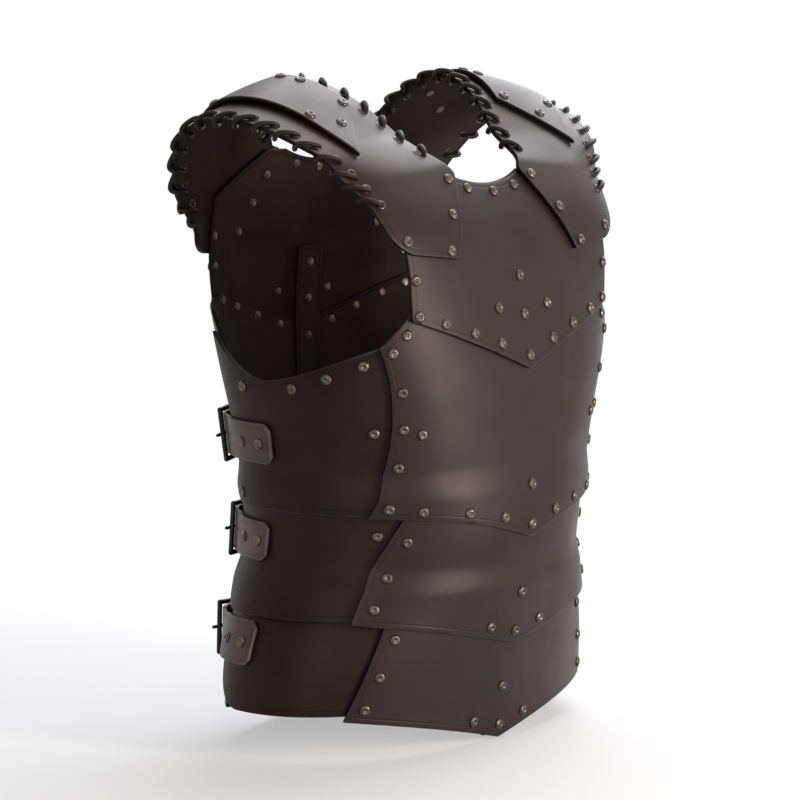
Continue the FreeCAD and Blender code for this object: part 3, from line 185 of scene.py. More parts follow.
# Angles and heights of a plate's outer face at a given X or Y and height
def laid(axis, column, tier, across, height):
    level = height
    for _ in range(3):
        lift = lift_of(column, tier, level) + LEATHER
        if axis == "x":
            angle = angle_at_x(across, level, lift, column == "front")
        else:
            angle = angle_at_y(across, level, lift)
        level = level + (height - lifted(angle, level, lift)[:, 2])
    return pairs(angle, height)


# Points of a plate at given angles and true heights
def at_heights(column, tier, angle, height, extra):
    level = np.array(height, float)
    for _ in range(6):
        spots = lifted(angle, level, lift_of(column, tier, level) + extra)
        level = level + (height - spots[:, 2])
    return lifted(angle, level, lift_of(column, tier, level) + extra)


# Mesh helpers
RIM_STEP = 0.6 * MM
CUT_ANGLE = math.radians(50)
SLOT_SHARE = 0.2


def mesh_of(name, bm):
    mesh = bpy.data.meshes.new(name)
    bm.to_mesh(mesh)
    bm.free()
    return mesh


def placed(name, data):
    item = bpy.data.objects.new(name, data)
    bpy.context.scene.collection.objects.link(item)
    return item


def new_piece(name, bm, materials, node):
    mesh = mesh_of(name, bm)
    mesh.shade_smooth()
    piece = placed(name, mesh)
    for material in materials:
        mesh.materials.append(material)
    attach(piece, "cuirass")
    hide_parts(node)


def tree_of(spots):
    tree = KDTree(len(spots))
    for index, spot in enumerate(spots):
        tree.insert(spot, index)
    tree.balance()
    return tree


# Writes each vertex's distance to the sheet's outline, which creases and edge wear follow
def mark_rim(bm, outline):
    spots = []
    for first, second in outline:
        steps = max(1, int((second - first).length / RIM_STEP))
        spots += [first.lerp(second, step / steps) for step in range(steps)]
    tree = tree_of(spots)
    layer = bm.verts.layers.float.get("rim") or bm.verts.layers.float.new("rim")
    for vert in bm.verts:
        vert[layer] = tree.find(vert.co)[2] / MM


# A leather sheet from a grid: place(u, v, side) gives points in millimetres, where side 0 is the
# inner face and side 1 the outer one. Its cut edges are rounded. Material 0 is the grain side,
# 1 the cut edge and 2 the flesh side. A slot is open along the middle between two shares of u.
def leather_sheet(columns, rows, place, edge=0.9, mirrored=False, slot=None):
    bm = bmesh.new()
    bmesh.ops.create_grid(bm, x_segments=columns, y_segments=rows, size=0.5)
    border = [found for found in bm.edges if found.is_boundary]
    if slot:
        centres = [(face, face.calc_center_median()) for face in bm.faces]
        cut = [face for face, at in centres
               if slot[0] < at.x + 0.5 < slot[1] and abs(2 * at.y) < SLOT_SHARE]
        bmesh.ops.delete(bm, geom=cut, context="FACES")
    u = np.array([vert.co.x for vert in bm.verts]) + 0.5
    v = np.array([vert.co.y for vert in bm.verts]) + 0.5
    outer, inner = place(u, v, 1) * MM, place(u, v, 0) * MM
    if mirrored:
        outer[:, 0] *= -1
        inner[:, 0] *= -1
    for vert, spot in zip(bm.verts, outer):
        vert.co = spot
    outline = [(found.verts[0].co.copy(), found.verts[1].co.copy()) for found in border]
    first_verts, grain_side = list(bm.verts), set(bm.faces)
    grown = bmesh.ops.extrude_face_region(bm, geom=bm.verts[:] + bm.edges[:] + bm.faces[:],
                                          use_keep_orig=True)
    fresh = [item for item in grown["geom"] if isinstance(item, bmesh.types.BMVert)]
    flesh_side = {item for item in grown["geom"] if isinstance(item, bmesh.types.BMFace)}
    for face in bm.faces:
        face.material_index = 0 if face in grain_side else 2 if face in flesh_side else 1
    tree = tree_of([vert.co for vert in first_verts])
    for vert in fresh:
        vert.co = inner[tree.find(vert.co)[1]]
    bmesh.ops.recalc_face_normals(bm, faces=bm.faces)
    sharp = [found for found in bm.edges if len(found.link_faces) == 2
             and found.calc_face_angle() > CUT_ANGLE]
    if edge:
        bmesh.ops.bevel(bm, geom=sharp, offset=edge * MM, segments=3, profile=0.5,
                        affect="EDGES", material=-1, clamp_overlap=True)
    mark_rim(bm, outline)
    return bm


# A patch between four edges, each a function of a share that gives (angle, height) rows
def patch(bottom, top, left, right):
    def at(u, v):
        corners = [edge(np.array([end])) for end in (0.0, 1.0) for edge in (left, right)]
        u_, v_ = u[:, None], v[:, None]
        ruled = (mix(bottom(u), top(u), v_) + mix(left(v), right(v), u_)
                 - mix(mix(corners[0], corners[1], u_), mix(corners[2], corners[3], u_), v_))
        return ruled[:, 0], ruled[:, 1]
    return at


# A broken line through corners that lie at given shares, with (first, second) values
def through(shares, corners):
    corners = np.asarray(corners, float)

    def at(share):
        return pairs(*(np.interp(share, shares, column) for column in corners.T))
    return at


def plate_place(column, tier, at):
    def place(u, v, side):
        angle, height = at(u, v)
        return at_heights(column, tier, angle, height, side * LEATHER)
    return place


# Materials: fill gives a node's inputs a value each, or links one to another node's output
def fill(tree, node, inputs):
    for name, value in inputs.items():
        if isinstance(value, bpy.types.NodeSocket):
            tree.links.new(value, node.inputs[name])
        else:
            node.inputs[name].default_value = value


def add(tree, kind, inputs=None, **values):
    node = tree.nodes.new(kind)
    for name, value in values.items():
        setattr(node, name, value)
    fill(tree, node, inputs or {})
    return node


def object_coords(tree):
    return add(tree, "ShaderNodeTexCoord").outputs["Object"]


def math_node(tree, operation, first, second=0.5):
    return add(tree, "ShaderNodeMath", {0: first, 1: second}, operation=operation).outputs[0]


def times(tree, first, second):
    return math_node(tree, "MULTIPLY", first, second)


def ramp(tree, value, low, high, bottom=0.0, top=1.0):
    return add(tree, "ShaderNodeMapRange", {"Value": value, "From Min": low, "From Max": high,
                                            "To Min": bottom, "To Max": top},
               interpolation_type="SMOOTHSTEP").outputs["Result"]


def noise(tree, coords, scale, detail, rough):
    return add(tree, "ShaderNodeTexNoise", {"Vector": coords, "Scale": scale, "Detail": detail,
                                            "Roughness": rough}).outputs["Fac"]


def new_group(name, results):
    group = bpy.data.node_groups.new(name, "ShaderNodeTree")
    for result in results:
        group.interface.new_socket(name=result, in_out="OUTPUT", socket_type="NodeSocketFloat")
    return group


# Leather surface: pores and fine creases as a height, and cloudy patches as a mask
def make_leather_grain():
    group = new_group("leather_grain", ("Height", "Patches", "Specks"))
    coords = object_coords(group)
    pores = add(group, "ShaderNodeTexVoronoi", {"Vector": coords, "Scale": 620},
                feature="DISTANCE_TO_EDGE")
    cells = ramp(group, pores.outputs["Distance"], 0.0, 0.18)
    height = math_node(group, "ADD", times(group, cells, 0.35),
                       times(group, noise(group, coords, 260, 5, 0.65), 0.9))
    fibres = times(group, noise(group, coords, 1500, 2, 0.5), 0.25)
    add(group, "NodeGroupOutput", {
        "Height": math_node(group, "ADD", height, fibres),
        "Patches": ramp(group, noise(group, coords, 14, 4, 0.6), 0.3, 0.72),
        "Specks": ramp(group, noise(group, coords, 900, 2, 0.6), 0.56, 0.75)})
    return group


# Edge finish of a cut sheet, from its distance to the outline: a tooled crease, a burnished
# border, and wear on the very edge
def make_edge_finish():
    group = new_group("edge_finish", ("Crease", "Border", "Wear"))
    group.interface.new_socket(name="Crease distance", socket_type="NodeSocketFloat")
    rim = add(group, "ShaderNodeAttribute", attribute_name="rim").outputs["Fac"]
    crease = add(group, "NodeGroupInput").outputs["Crease distance"]
    away = math_node(group, "ABSOLUTE", math_node(group, "SUBTRACT", rim, crease))
    patches = ramp(group, noise(group, object_coords(group), 70, 4, 0.7), 0.38, 0.62)
    add(group, "NodeGroupOutput", {
        "Crease": ramp(group, away, 0.25, 0.85, 1.0, 0.0),
        "Border": ramp(group, rim, 0.8, 7.0, 1.0, 0.0),
        "Wear": times(group, ramp(group, rim, 0.1, 1.5, 1.0, 0.0), patches)})
    return group


LEATHER_GRAIN = make_leather_grain()
EDGE_FINISH = make_edge_finish()


# The masks of a leather that darken it: how strongly, and to which share of its dark colour
DARKENING = (("Specks", 0.35, 0.45), ("Border", 0.35, 0.6), ("Crease", 0.6, 0.35))
WEAR = 0.75
WARM_GLOSS = (1, 0.88, 0.82, 1)


def blend_colour(tree, share, first, second):
    ends = [(*colour, 1) if isinstance(colour, tuple) else colour for colour in (first, second)]
    return add(tree, "ShaderNodeMix", {0: share, 6: ends[0], 7: ends[1]},
               data_type="RGBA").outputs[2]


def bumped(tree, strength, depth, height):
    return add(tree, "ShaderNodeBump", {"Strength": strength, "Distance": depth * MM,
                                        "Height": height}).outputs["Normal"]


def shader_of(name):
    material = bpy.data.materials.new(name)
    material.use_nodes = True
    tree = material.node_tree
    return material, tree, tree.nodes["Principled BSDF"]


def leather(name, dark, light, worn, roughness, gloss, crease=4.6, depth=0.12):
    material, tree, shader = shader_of(name)
    grain = add(tree, "ShaderNodeGroup", node_tree=LEATHER_GRAIN).outputs
    edge = add(tree, "ShaderNodeGroup", {"Crease distance": crease}, node_tree=EDGE_FINISH).outputs
    colour = blend_colour(tree, grain["Patches"], dark, light)
    for mask, strength, tone in DARKENING:
        source = grain if mask in grain else edge
        colour = blend_colour(tree, times(tree, source[mask], strength),
                              colour, tuple(tone * part for part in dark))
    colour = blend_colour(tree, times(tree, edge["Wear"], WEAR), colour, worn)
    height = math_node(tree, "SUBTRACT", times(tree, grain["Height"], 0.5),
                       times(tree, edge["Crease"], 1.5))
    fill(tree, shader, {
        "Base Color": colour,
        "Roughness": ramp(tree, grain["Patches"], 0.0, 1.0, roughness + 0.05, roughness - 0.04),
        "Normal": bumped(tree, 0.6, depth, height),
        "Specular IOR Level": gloss, "Specular Tint": WARM_GLOSS})
    return material


def metal(name, clean, dull, roughness):
    material, tree, shader = shader_of(name)
    coords = object_coords(tree)
    tarnish = ramp(tree, noise(tree, coords, 260, 4, 0.65), 0.25, 0.75)
    fill(tree, shader, {
        "Base Color": blend_colour(tree, tarnish, clean, dull),
        "Roughness": ramp(tree, tarnish, 0, 1, roughness - 0.06, roughness + 0.12),
        "Normal": bumped(tree, 0.35, 0.05, noise(tree, coords, 900, 3, 0.6)),
        "Metallic": 1.0})
    return material


# Each leather: its dark, light and worn colour, roughness and gloss
PLATE = leather("oiled_brown_leather", (0.0105, 0.0058, 0.0048), (0.019, 0.0118, 0.0099),
                (0.06, 0.043, 0.035), 0.41, 0.22)
# The side panels' leather is the plates' colour with less than half their gloss, so it reflects
# less of the white surroundings and renders darker: painted shade for the sides that turn away from
# the light.
SIDE = leather("dark_side_leather", (0.012, 0.0062, 0.005), (0.021, 0.012, 0.0095),
               (0.05, 0.034, 0.027), 0.45, 0.1)
STRAP = leather("billet_leather", (0.042, 0.025, 0.019), (0.075, 0.048, 0.037),
                (0.15, 0.11, 0.085), 0.45, 0.25, crease=3.2)
EDGE = leather("burnished_edge", (0.004, 0.0028, 0.0025), (0.008, 0.0055, 0.0045),
               (0.014, 0.01, 0.008), 0.5, 0.08, depth=0.05)
RAW_EDGE = leather("raw_billet_edge", (0.16, 0.12, 0.095), (0.28, 0.22, 0.18),
                   (0.34, 0.28, 0.23), 0.6, 0.2)
FLESH = leather("flesh_side", (0.018, 0.012, 0.0095), (0.030, 0.021, 0.0165),
                (0.05, 0.036, 0.028), 0.8, 0.12, depth=0.3)
LACE = leather("lace_leather", (0.006, 0.0035, 0.003), (0.012, 0.0072, 0.006),
               (0.03, 0.02, 0.016), 0.45, 0.16)
BRASS = metal("antique_brass", (0.13, 0.11, 0.085), (0.04, 0.033, 0.025), 0.38)
STEEL = metal("blackened_steel", (0.03, 0.03, 0.032), (0.012, 0.012, 0.012), 0.36)

# The finishes of a cut sheet: its grain side, its edge and its flesh side
PLATE_FINISH = (PLATE, EDGE, FLESH)
SIDE_FINISH = (SIDE, EDGE, FLESH)
STRAP_FINISH = (STRAP, EDGE, FLESH)
BILLET_FINISH = (STRAP, RAW_EDGE, FLESH)
SIDES = ("L", "R")


# Plates. A foot is a shallow V: its tip's and corners' heights, half width and bow.
def foot_height(across, tip, corner, half_width, bow):
    share = np.minimum(np.abs(across) / half_width, 1)
    return mix(tip, corner, share) + 4 * bow * share * (1 - share)


FEET = {"plate": (165, 188, 135.2, 5.5), "upper": (78, 106, 146, 2), "lower": (0, 30, 149, 2)}
BACK_FEET = {"plate": (182, *FEET["plate"][1:]), "upper": (104, *FEET["upper"][1:]),
             "lower": FEET["lower"]}


# Half widths of the front plates' side edges by height: the chest is narrowest at 245
def chest_edge(height):
    return 127 + 15 * ((height - 245) / 77) ** 2


def upper_edge(height):
    return mix(106, 146, (UPPER_HEAD - height) / 96)


def lower_edge(height):
    return mix(114, 149, (LOWER_HEAD - height) / 96)


FRONT_EDGES = {"plate": (chest_edge, 322), "upper": (upper_edge, UPPER_HEAD),
               "lower": (lower_edge, LOWER_HEAD)}
# The hidden head of the chest and back plates: its middle, and its corners under the yoke
HEAD_MIDDLE, HEAD_CORNER, HEAD_ACROSS = 320, 353, 113.8


# A plate between its foot, a top line and two side edges, all in X and height
def plate_between(column, tier, foot, top, edge_of, head):
    def bottom(share):
        across = (2 * share - 1) * -foot[2]
        return pairs(across, foot_height(across, *foot))

    def side(sign):
        def at(share):
            height = mix(foot[1], head, share)
            return pairs(sign * edge_of(height), height)
        return at

    edges = [lambda share, edge=edge: laid("x", column, tier, *edge(share).T)
             for edge in (bottom, top, side(1), side(-1))]
    return plate_place(column, tier, patch(*edges))


def front_plate(tier):
    edge_of, head = FRONT_EDGES[tier]
    half = edge_of(head)
    top = through((0, 1), [(half, head), (-half, head)])
    if tier == "plate":
        top = through((0, 0.125, 0.5, 0.875, 1),
                      [(half, head), (HEAD_ACROSS, HEAD_CORNER), (0, HEAD_MIDDLE),
                       (-HEAD_ACROSS, HEAD_CORNER), (-half, head)])
    return plate_between("front", tier, FEET[tier], top, edge_of, head)


# The yokes: a scooped neck, then a slant down to the top of each side
YOKE_HEADS = {"front": 442, "back": 456}
SCOOP, SCOOP_HALF, SLANT_START = 9, 46, 68
YOKE_FOOT_HALF, YOKE_HEAD_HALF, YOKE_LOW, YOKE_HIGH = 121, 125, 342, 430
YOKE_FOOT = (298, YOKE_LOW, YOKE_FOOT_HALF, 1)


def yoke_edge(height):
    return mix(YOKE_FOOT_HALF, YOKE_HEAD_HALF, (height - YOKE_LOW) / (YOKE_HIGH - YOKE_LOW))


def yoke_plate(column):
    neck = YOKE_HEADS[column]
    half = [(YOKE_HEAD_HALF, YOKE_HIGH), (SLANT_START, neck + SCOOP), (SCOOP_HALF, neck + SCOOP)]
    top_line = through((0, 18 / 84, 26 / 84, 58 / 84, 66 / 84, 1),
                       half + [(-across, height) for across, height in reversed(half)])

    def top(share):
        spots = top_line(share)
        across = spots[:, 0]
        spots[:, 1] = np.where(np.abs(across) < SCOOP_HALF,
                               neck + SCOOP * (across / SCOOP_HALF) ** 2, spots[:, 1])
        return spots

    return plate_between(column, "yoke", YOKE_FOOT, top, yoke_edge, YOKE_HIGH)


# Back plates reach round to a given depth at their sides, and the top one has its armhole there
BACK_DEPTH = 54


def armhole_depth(height):
    share = np.clip((height - 288) / 104, 0, 2)
    return 40 + 56 * share + 32 * share * (1 - share)


def back_plate(tier):
    foot = BACK_FEET[tier]
    head = {"plate": 345, "upper": UPPER_HEAD, "lower": LOWER_HEAD}[tier]

    def depth_at(height):
        if tier == "plate":
            low = mix(73.5, BACK_DEPTH, smooth((height - 203) / 8))
            return np.maximum(low, armhole_depth(height))
        if tier == "upper":
            return mix(63.5, BACK_DEPTH, smooth((height - 127) / 8))
        return BACK_DEPTH

    def left(share):
        height = mix(foot[1], head, share)
        return laid("y", "back", tier, depth_at(height), height)

    def right(share):
        return left(share) * (-1, 1) - (180, 0)

    def row(end, height_of):
        first, last = (edge(np.array([end]))[0] for edge in (left, right))

        def at(share):
            angle = mix(first[0], last[0], share)
            height = np.full(angle.shape, first[1])
            for _ in range(4):
                height = height_of(at_heights("back", tier, angle, height, LEATHER)[:, 0])
            return pairs(angle, height)
        return at

    bottom = row(0.0, lambda across: foot_height(across, *foot))
    if tier == "plate":
        def head_height(across):
            across = np.abs(across)
            return np.where(across < HEAD_ACROSS,
                            mix(HEAD_MIDDLE, HEAD_CORNER, across / HEAD_ACROSS),
                            mix(HEAD_CORNER, head, (across - HEAD_ACROSS) / 30))
        top = row(1.0, head_height)
    else:
        top = row(1.0, lambda across: np.full(across.shape, float(head)))
    return plate_place("back", tier, patch(bottom, top, left, right))


# Side plates: their front edge hides under the front plate, their lower rear corner is round.
# By tier: rear edge's depth, foot, corner radius, head in front and behind, corner's share
SIDE_SHAPES = {"plate": (72, 190, 16, 326, 327, 0.16),
               "upper": (72, 108, 20, UPPER_HEAD, UPPER_HEAD, 0.2),
               "lower": (62, 34, 34, LOWER_HEAD, LOWER_HEAD, 0.2)}
FRONT_OVERLAP = 16.5
# The armhole is lowest under the arm, and rises on a curve in front and behind
PIT, PIT_DEPTH, FRONT_DEPTH = 293, 12, -98


def side_plate(tier):
    rear, foot, radius, head, rear_head, bend_share = SIDE_SHAPES[tier]
    edge_of = FRONT_EDGES[tier][0]

    def front_edge(height):
        lift = lift_of("front", tier, height) + LEATHER
        bare = angle_at_x(edge_of(height), height, lift)
        spot = skin(bare, height)
        return bare + np.degrees(FRONT_OVERLAP / np.hypot(spot[:, 0], spot[:, 1]))

    def right(share):
        height = mix(foot, head, share)
        return pairs(front_edge(height), height)

    def left(share):
        return laid("y", "side", tier, rear, mix(foot + radius, rear_head, share))

    start, end = right(np.array([0.0]))[0], right(np.array([1.0]))[0]

    def bottom(share):
        turn = np.clip(share / bend_share, 0, 1) * math.pi / 2
        corner = laid("y", "side", tier, rear - radius * (1 - np.cos(turn)),
                      foot + radius * (1 - np.sin(turn)))
        along = np.clip((share - bend_share) / (1 - bend_share), 0, 1)
        corner[:, 0] = mix(corner[:, 0], start[0], along)
        return corner

    def top(share):
        if tier != "plate":
            return mix(left(np.array([1.0]))[0], end, share[:, None])
        depth = mix(rear, FRONT_DEPTH, share)
        behind = depth - PIT_DEPTH
        front_part = PIT + 33 * (np.abs(behind) / 107) ** 1.56
        rear_part = PIT + 34 * np.clip(behind / (rear - PIT_DEPTH), 0, 1) ** 1.74
        height = np.where(behind > 0, rear_part, np.minimum(front_part, head))
        spots = laid("y", "side", tier, depth, height)
        late = smooth((share - 0.92) / 0.08)[:, None]
        return mix(spots, end, late)

    return plate_place("side", tier, patch(bottom, top, left, right))


PLATE_ROWS = {"plate": 64, "upper": 44, "lower": 44}
SIDE_ROWS = {"plate": 56, "upper": 40, "lower": 40}
for plate_of, nodes in ((front_plate, ("chest_plate", "belly_lame_upper", "belly_lame_lower")),
                        (back_plate, ("back_plate", "back_lame_upper", "back_lame_lower"))):
    for tier, node in zip(PLATE_ROWS, nodes):
        new_piece("leather_" + node, leather_sheet(96, PLATE_ROWS[tier], plate_of(tier)),
                  PLATE_FINISH, node)
for column, node in (("front", "chest_yoke"), ("back", "back_yoke")):
    new_piece("leather_" + node, leather_sheet(84, 56, yoke_plate(column)), PLATE_FINISH,
              node)
for tier, node in zip(SIDE_ROWS, ("side_panel", "side_lame_upper", "side_lame_lower")):
    for side in SIDES:
        sheet = leather_sheet(64, SIDE_ROWS[tier], side_plate(tier), mirrored=side == "R")
        name = node + "_" + side
        new_piece("leather_" + name, sheet, SIDE_FINISH, name)


# Long straps riveted inside the front and back along the middle
def inner_strip(column):
    lift = COLUMN_LAYERS[column] * LAYER - INNER_GAP - INNER_STRIP

    def place(u, v, side):
        level = mix(3.0, 384.0, v)
        out = lift + side * INNER_STRIP
        edge = angle_at_x(np.full(level.shape, 15.0), level, out, column == "front")
        far = (180 if column == "front" else -180) - edge
        return lifted(mix(edge, far, u), level, out)
    return place


for column in ("front", "back"):
    new_piece("leather_%s_inner_strap" % column,
              leather_sheet(8, 96, inner_strip(column), edge=0.5), STRAP_FINISH,
              column + "_inner_strap")


# Shoulder straps, on the wearer's left and mirrored: rows of both edges from the front foot over
# the shoulder to the back foot, as shares of the strap's size above its feet's level
NECK_SIDE = np.array([
    (0.27, -1, 0.02), (0.24, -0.95, 0.168), (0.22, -0.87, 0.322), (0.21, -0.74, 0.469),
    (0.259, -0.509, 0.549), (0.295, -0.364, 0.636), (0.328, -0.22, 0.733),
    (0.362, -0.075, 0.827), (0.397, 0.098, 0.906), (0.426, 0.299, 0.958), (0.438, 0.486, 0.962),
    (0.423, 0.654, 0.906), (0.38, 0.775, 0.825), (0.323, 0.9, 0.685), (0.277, 0.98, 0.538),
    (0.251, 1, 0.385), (0.256, 1.02, 0.224), (0.28, 1.04, 0.07)])
ARM_SIDE = np.array([
    (0.682, -0.96, 0.084), (0.708, -0.92, 0.189), (0.73, -0.86, 0.294), (0.764, -0.77, 0.392),
    (0.805, -0.645, 0.476), (0.856, -0.495, 0.573), (0.913, -0.336, 0.65), (0.954, -0.168, 0.713),
    (0.985, 0.019, 0.755), (1, 0.224, 0.769), (0.995, 0.449, 0.755), (0.969, 0.654, 0.692),
    (0.923, 0.822, 0.573), (0.862, 0.935, 0.427), (0.805, 1, 0.287), (0.764, 1.03, 0.182),
    (0.733, 1.04, 0.091), (0.703, 1.05, 0)])
STRAP_SIZE, FOOT_LEVEL = np.array([195, 107, 143]), 382
STRAP_ROWS = np.hstack([side * STRAP_SIZE + (0, 0, FOOT_LEVEL) for side in (NECK_SIDE, ARM_SIDE)])
LAST_STATION = len(STRAP_ROWS) - 1
LEAVES_FRONT, MEETS_BACK, FREE_BLEND = 3.2, 14.4, 2.2


# Depth of the front or back, lifted, at a given X and height
def depth_on_plate(across, height, lift, front):
    level = height.copy()
    for _ in range(4):
        angle = angle_at_x(across, level, lift, front)
        spots = lifted(angle, level, lift)
        level = level - (spots[:, 2] - height)
    return spots[:, 1]


def strap_row(station):
    return between(np.arange(LAST_STATION + 1), STRAP_ROWS, station)


# The strap's underside: a crowned chord where it is free, and the plates where it lies on them
def strap_under(station, share):
    row = strap_row(station)
    chord = mix(row[:, :3], row[:, 3:], share[:, None])
    free_front = smooth((station - LEAVES_FRONT) / FREE_BLEND)
    free_back = smooth((MEETS_BACK + 1.2 * share - station) / FREE_BLEND)
    chord[:, 2] += 4 * STRAP_CROWN * share * (1 - share) * np.minimum(free_front, free_back)
    front = station < (LAST_STATION + 1) / 2
    free = np.where(front, free_front, free_back)
    lying = chord.copy()
    for is_front, layers in ((True, 3), (False, 1)):
        lift = layers * LAYER + LEATHER + STRAP_SEAT
        chosen = (front == is_front) & (free < 1)
        if chosen.any():
            lying[chosen, 1] = depth_on_plate(chord[chosen, 0], chord[chosen, 2], lift, is_front)
    return mix(lying, chord, free[:, None])


def strap_out(station, share):
    step = 0.02
    low, high = np.maximum(station - step, 0), np.minimum(station + step, LAST_STATION)
    along = strap_under(high, share) - strap_under(low, share)
    low, high = np.maximum(share - step, 0), np.minimum(share + step, 1)
    across = strap_under(station, high) - strap_under(station, low)
    return unit(np.cross(across, along))


def on_strap(station, share, lift):
    station, share, lift = as_rows(station, share, lift)
    return strap_under(station, share) + strap_out(station, share) * lift[:, None]


# The strap's feet: the neck side is cut back to a slanting edge and the arm corner is rounded
NECK_CUT = 22


def neck_cut(station):
    row = strap_row(station)
    cut = np.zeros(station.shape)
    for chosen, foot_row, corner_row in ((station < 3, STRAP_ROWS[0], STRAP_ROWS[3]),
                                         (station > LAST_STATION - 3, STRAP_ROWS[-1],
                                          STRAP_ROWS[-4])):
        foot_x, foot_z = foot_row[0] + NECK_CUT, foot_row[2]
        slope = (foot_x - corner_row[0]) / (foot_z - corner_row[2])
        share = ((foot_x + slope * (row[:, 2] - foot_z) - row[:, 0])
                 / ((row[:, 3] - row[:, 0]) - slope * (row[:, 5] - row[:, 2])))
        cut = np.where(chosen, np.maximum(share, 0), cut)
    return cut


CORNER_RADIUS, CORNER_STATIONS, FOOT_WIDTH = 17, 1.02, 84


def arm_cut(station):
    nearest = np.minimum(station, LAST_STATION - station) / CORNER_STATIONS
    inward = CORNER_RADIUS * (1 - np.clip(nearest, 0, 1))
    inset = CORNER_RADIUS - np.sqrt(np.maximum(CORNER_RADIUS ** 2 - inward ** 2, 0))
    return 1 - inset / FOOT_WIDTH


# Rows crowd where a foot's corner is round
def strap_station(share):
    end = 0.09
    near, far = (CORNER_STATIONS * (1 - np.cos(np.clip(ahead / end, 0, 1) * math.pi / 2))
                 for ahead in (share, 1 - share))
    middle = mix(CORNER_STATIONS, LAST_STATION - CORNER_STATIONS,
                 np.clip((share - end) / (1 - 2 * end), 0, 1))
    return np.where(share < end, near, np.where(share > 1 - end, LAST_STATION - far, middle))


def strap_place(u, v, side):
    station = strap_station(v)
    share = mix(neck_cut(station), arm_cut(station), u)
    return on_strap(station, share, side * LEATHER)


# A cap lies over the strap, and is wider towards the arm
def cap_place(u, v, side):
    station = mix(mix(6.9, 4.6, u), mix(11.2, 12.6, u), v)
    arch = CAP_ARCH * np.sin(math.pi * v) ** 2
    return on_strap(station, mix(0.17, 0.73, u), LEATHER + CAP_SEAT + arch + side * LEATHER)


for side in SIDES:
    flip = side == "R"
    for name, sheet in (
            ("shoulder_strap_", leather_sheet(32, 132, strap_place, mirrored=flip)),
            ("shoulder_cap_", leather_sheet(28, 60, cap_place, edge=1.1, mirrored=flip))):
        new_piece("leather_" + name + side, sheet, PLATE_FINISH, name + side)


# Lace whipped over the strap's edges through its eyelets: how far it stands off the leather, how
# far in the eyelets are, and how far a stitch leans as a share of their spacing
LACE_RADIUS, LACE_STAND, LACE_INSET, LACE_SLANT = 2.1, 2.7, 10, 0.62


def lace_points(share, outward, first, last, stitches):
    station = np.linspace(first, last, stitches) * LAST_STATION
    over = station + LACE_SLANT * (station[1] - station[0])
    width = np.linalg.norm(on_strap(station, 1, 0) - on_strap(station, 0, 0), axis=1)
    inside = share - outward * LACE_INSET / width
    hole, out = on_strap(station, inside, 0), strap_out(station, inside)
    edge = on_strap(over, share, 0)
    beyond = unit(edge - on_strap(over, share - outward * 0.02, 0))
    beside, up = edge + beyond * LACE_STAND, strap_out(over, np.full(stitches, float(share)))
    rise = LEATHER + LACE_STAND
    rows = (hole - out * LACE_STAND, hole + out * rise, beside + up * rise,
            beside - up * LACE_STAND)
    return np.stack(rows, axis=1).reshape(-1, 3)


def lace_piece(lace, points, side):
    name = "whipped_%s_%s" % (lace, side)
    curve = bpy.data.curves.new(name, "CURVE")
    curve.dimensions = "3D"
    curve.bevel_depth = LACE_RADIUS * MM
    curve.bevel_resolution = 3
    curve.use_fill_caps = True
    spline = curve.splines.new("NURBS")
    spline.points.add(len(points) - 1)
    for point, spot in zip(spline.points, points):
        across = spot[0] if side == "L" else -spot[0]
        point.co = (across * MM, spot[1] * MM, spot[2] * MM, 1)
    spline.order_u = 3
    spline.use_endpoint_u = True
    spline.resolution_u = 6
    maker = placed(name + "_path", curve)
    bpy.context.view_layer.update()
    mesh = bpy.data.meshes.new_from_object(maker.evaluated_get(
        bpy.context.evaluated_depsgraph_get()))
    bm = bmesh.new()
    bm.from_mesh(mesh)
    bpy.data.objects.remove(maker)
    bmesh.ops.remove_doubles(bm, verts=bm.verts, dist=0.01 * MM)
    bmesh.ops.recalc_face_normals(bm, faces=bm.faces)
    layer = bm.verts.layers.float.new("rim")
    for vert in bm.verts:
        vert[layer] = 20
    new_piece(name, bm, (LACE,), lace + "_" + side)


ARM_LACE = lace_points(1, 1, 0.13, 0.85, 16)
NECK_LACE = lace_points(0, -1, 0.24, 0.78, 12)
for side in SIDES:
    lace_piece("arm_lace", ARM_LACE, side)
    lace_piece("neck_lace", NECK_LACE, side)


# Rivets and eyelets: a turned profile at each solid's own place
TURNED_SEGMENTS = 14


def spun(profile):
    bm = bmesh.new()
    verts = [bm.verts.new((radius * MM, 0, height * MM)) for radius, height in profile]
    edges = [bm.edges.new(pair) for pair in zip(verts, verts[1:])]
    bmesh.ops.spin(bm, geom=verts + edges, cent=(0, 0, 0), axis=(0, 0, 1),
                   angle=2 * math.pi, steps=TURNED_SEGMENTS, use_merge=True)
    bmesh.ops.remove_doubles(bm, verts=bm.verts, dist=0.005 * MM)
    bmesh.ops.recalc_face_normals(bm, faces=bm.faces)
    return mesh_of("spun", bm)


# Each separate solid of a node: its axis, pointing to its wider head, and its two ends
def solids_of(node):
    bm = bmesh.new()
    bm.from_mesh(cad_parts[node].data)
    bmesh.ops.remove_doubles(bm, verts=bm.verts, dist=0.002 * MM)
    left = set(bm.verts)
    found = []
    while left:
        stack = [left.pop()]
        group = []
        while stack:
            vert = stack.pop()
            group.append(vert.co[:])
            for edge in vert.link_edges:
                other = edge.other_vert(vert)
                if other in left:
                    left.discard(other)
                    stack.append(other)
        spots = np.array(group)
        centre = spots.mean(axis=0)
        values, ways = np.linalg.eigh(np.cov((spots - centre).T))
        odd = 0 if values[1] - values[0] > values[2] - values[1] else 2
        axis = ways[:, odd]
        along = (spots - centre) @ axis
        radial = np.linalg.norm(spots - centre - along[:, None] * axis, axis=1)
        head = radial[along > 0.25 * along.max()].max()
        tail = radial[along < 0.25 * along.min()].max()
        if tail > head:
            axis, along = -axis, -along
        found.append([Vector(way) for way in (axis, centre + axis * along.max(),
                                              centre + axis * along.min())])
    bm.free()
    return found


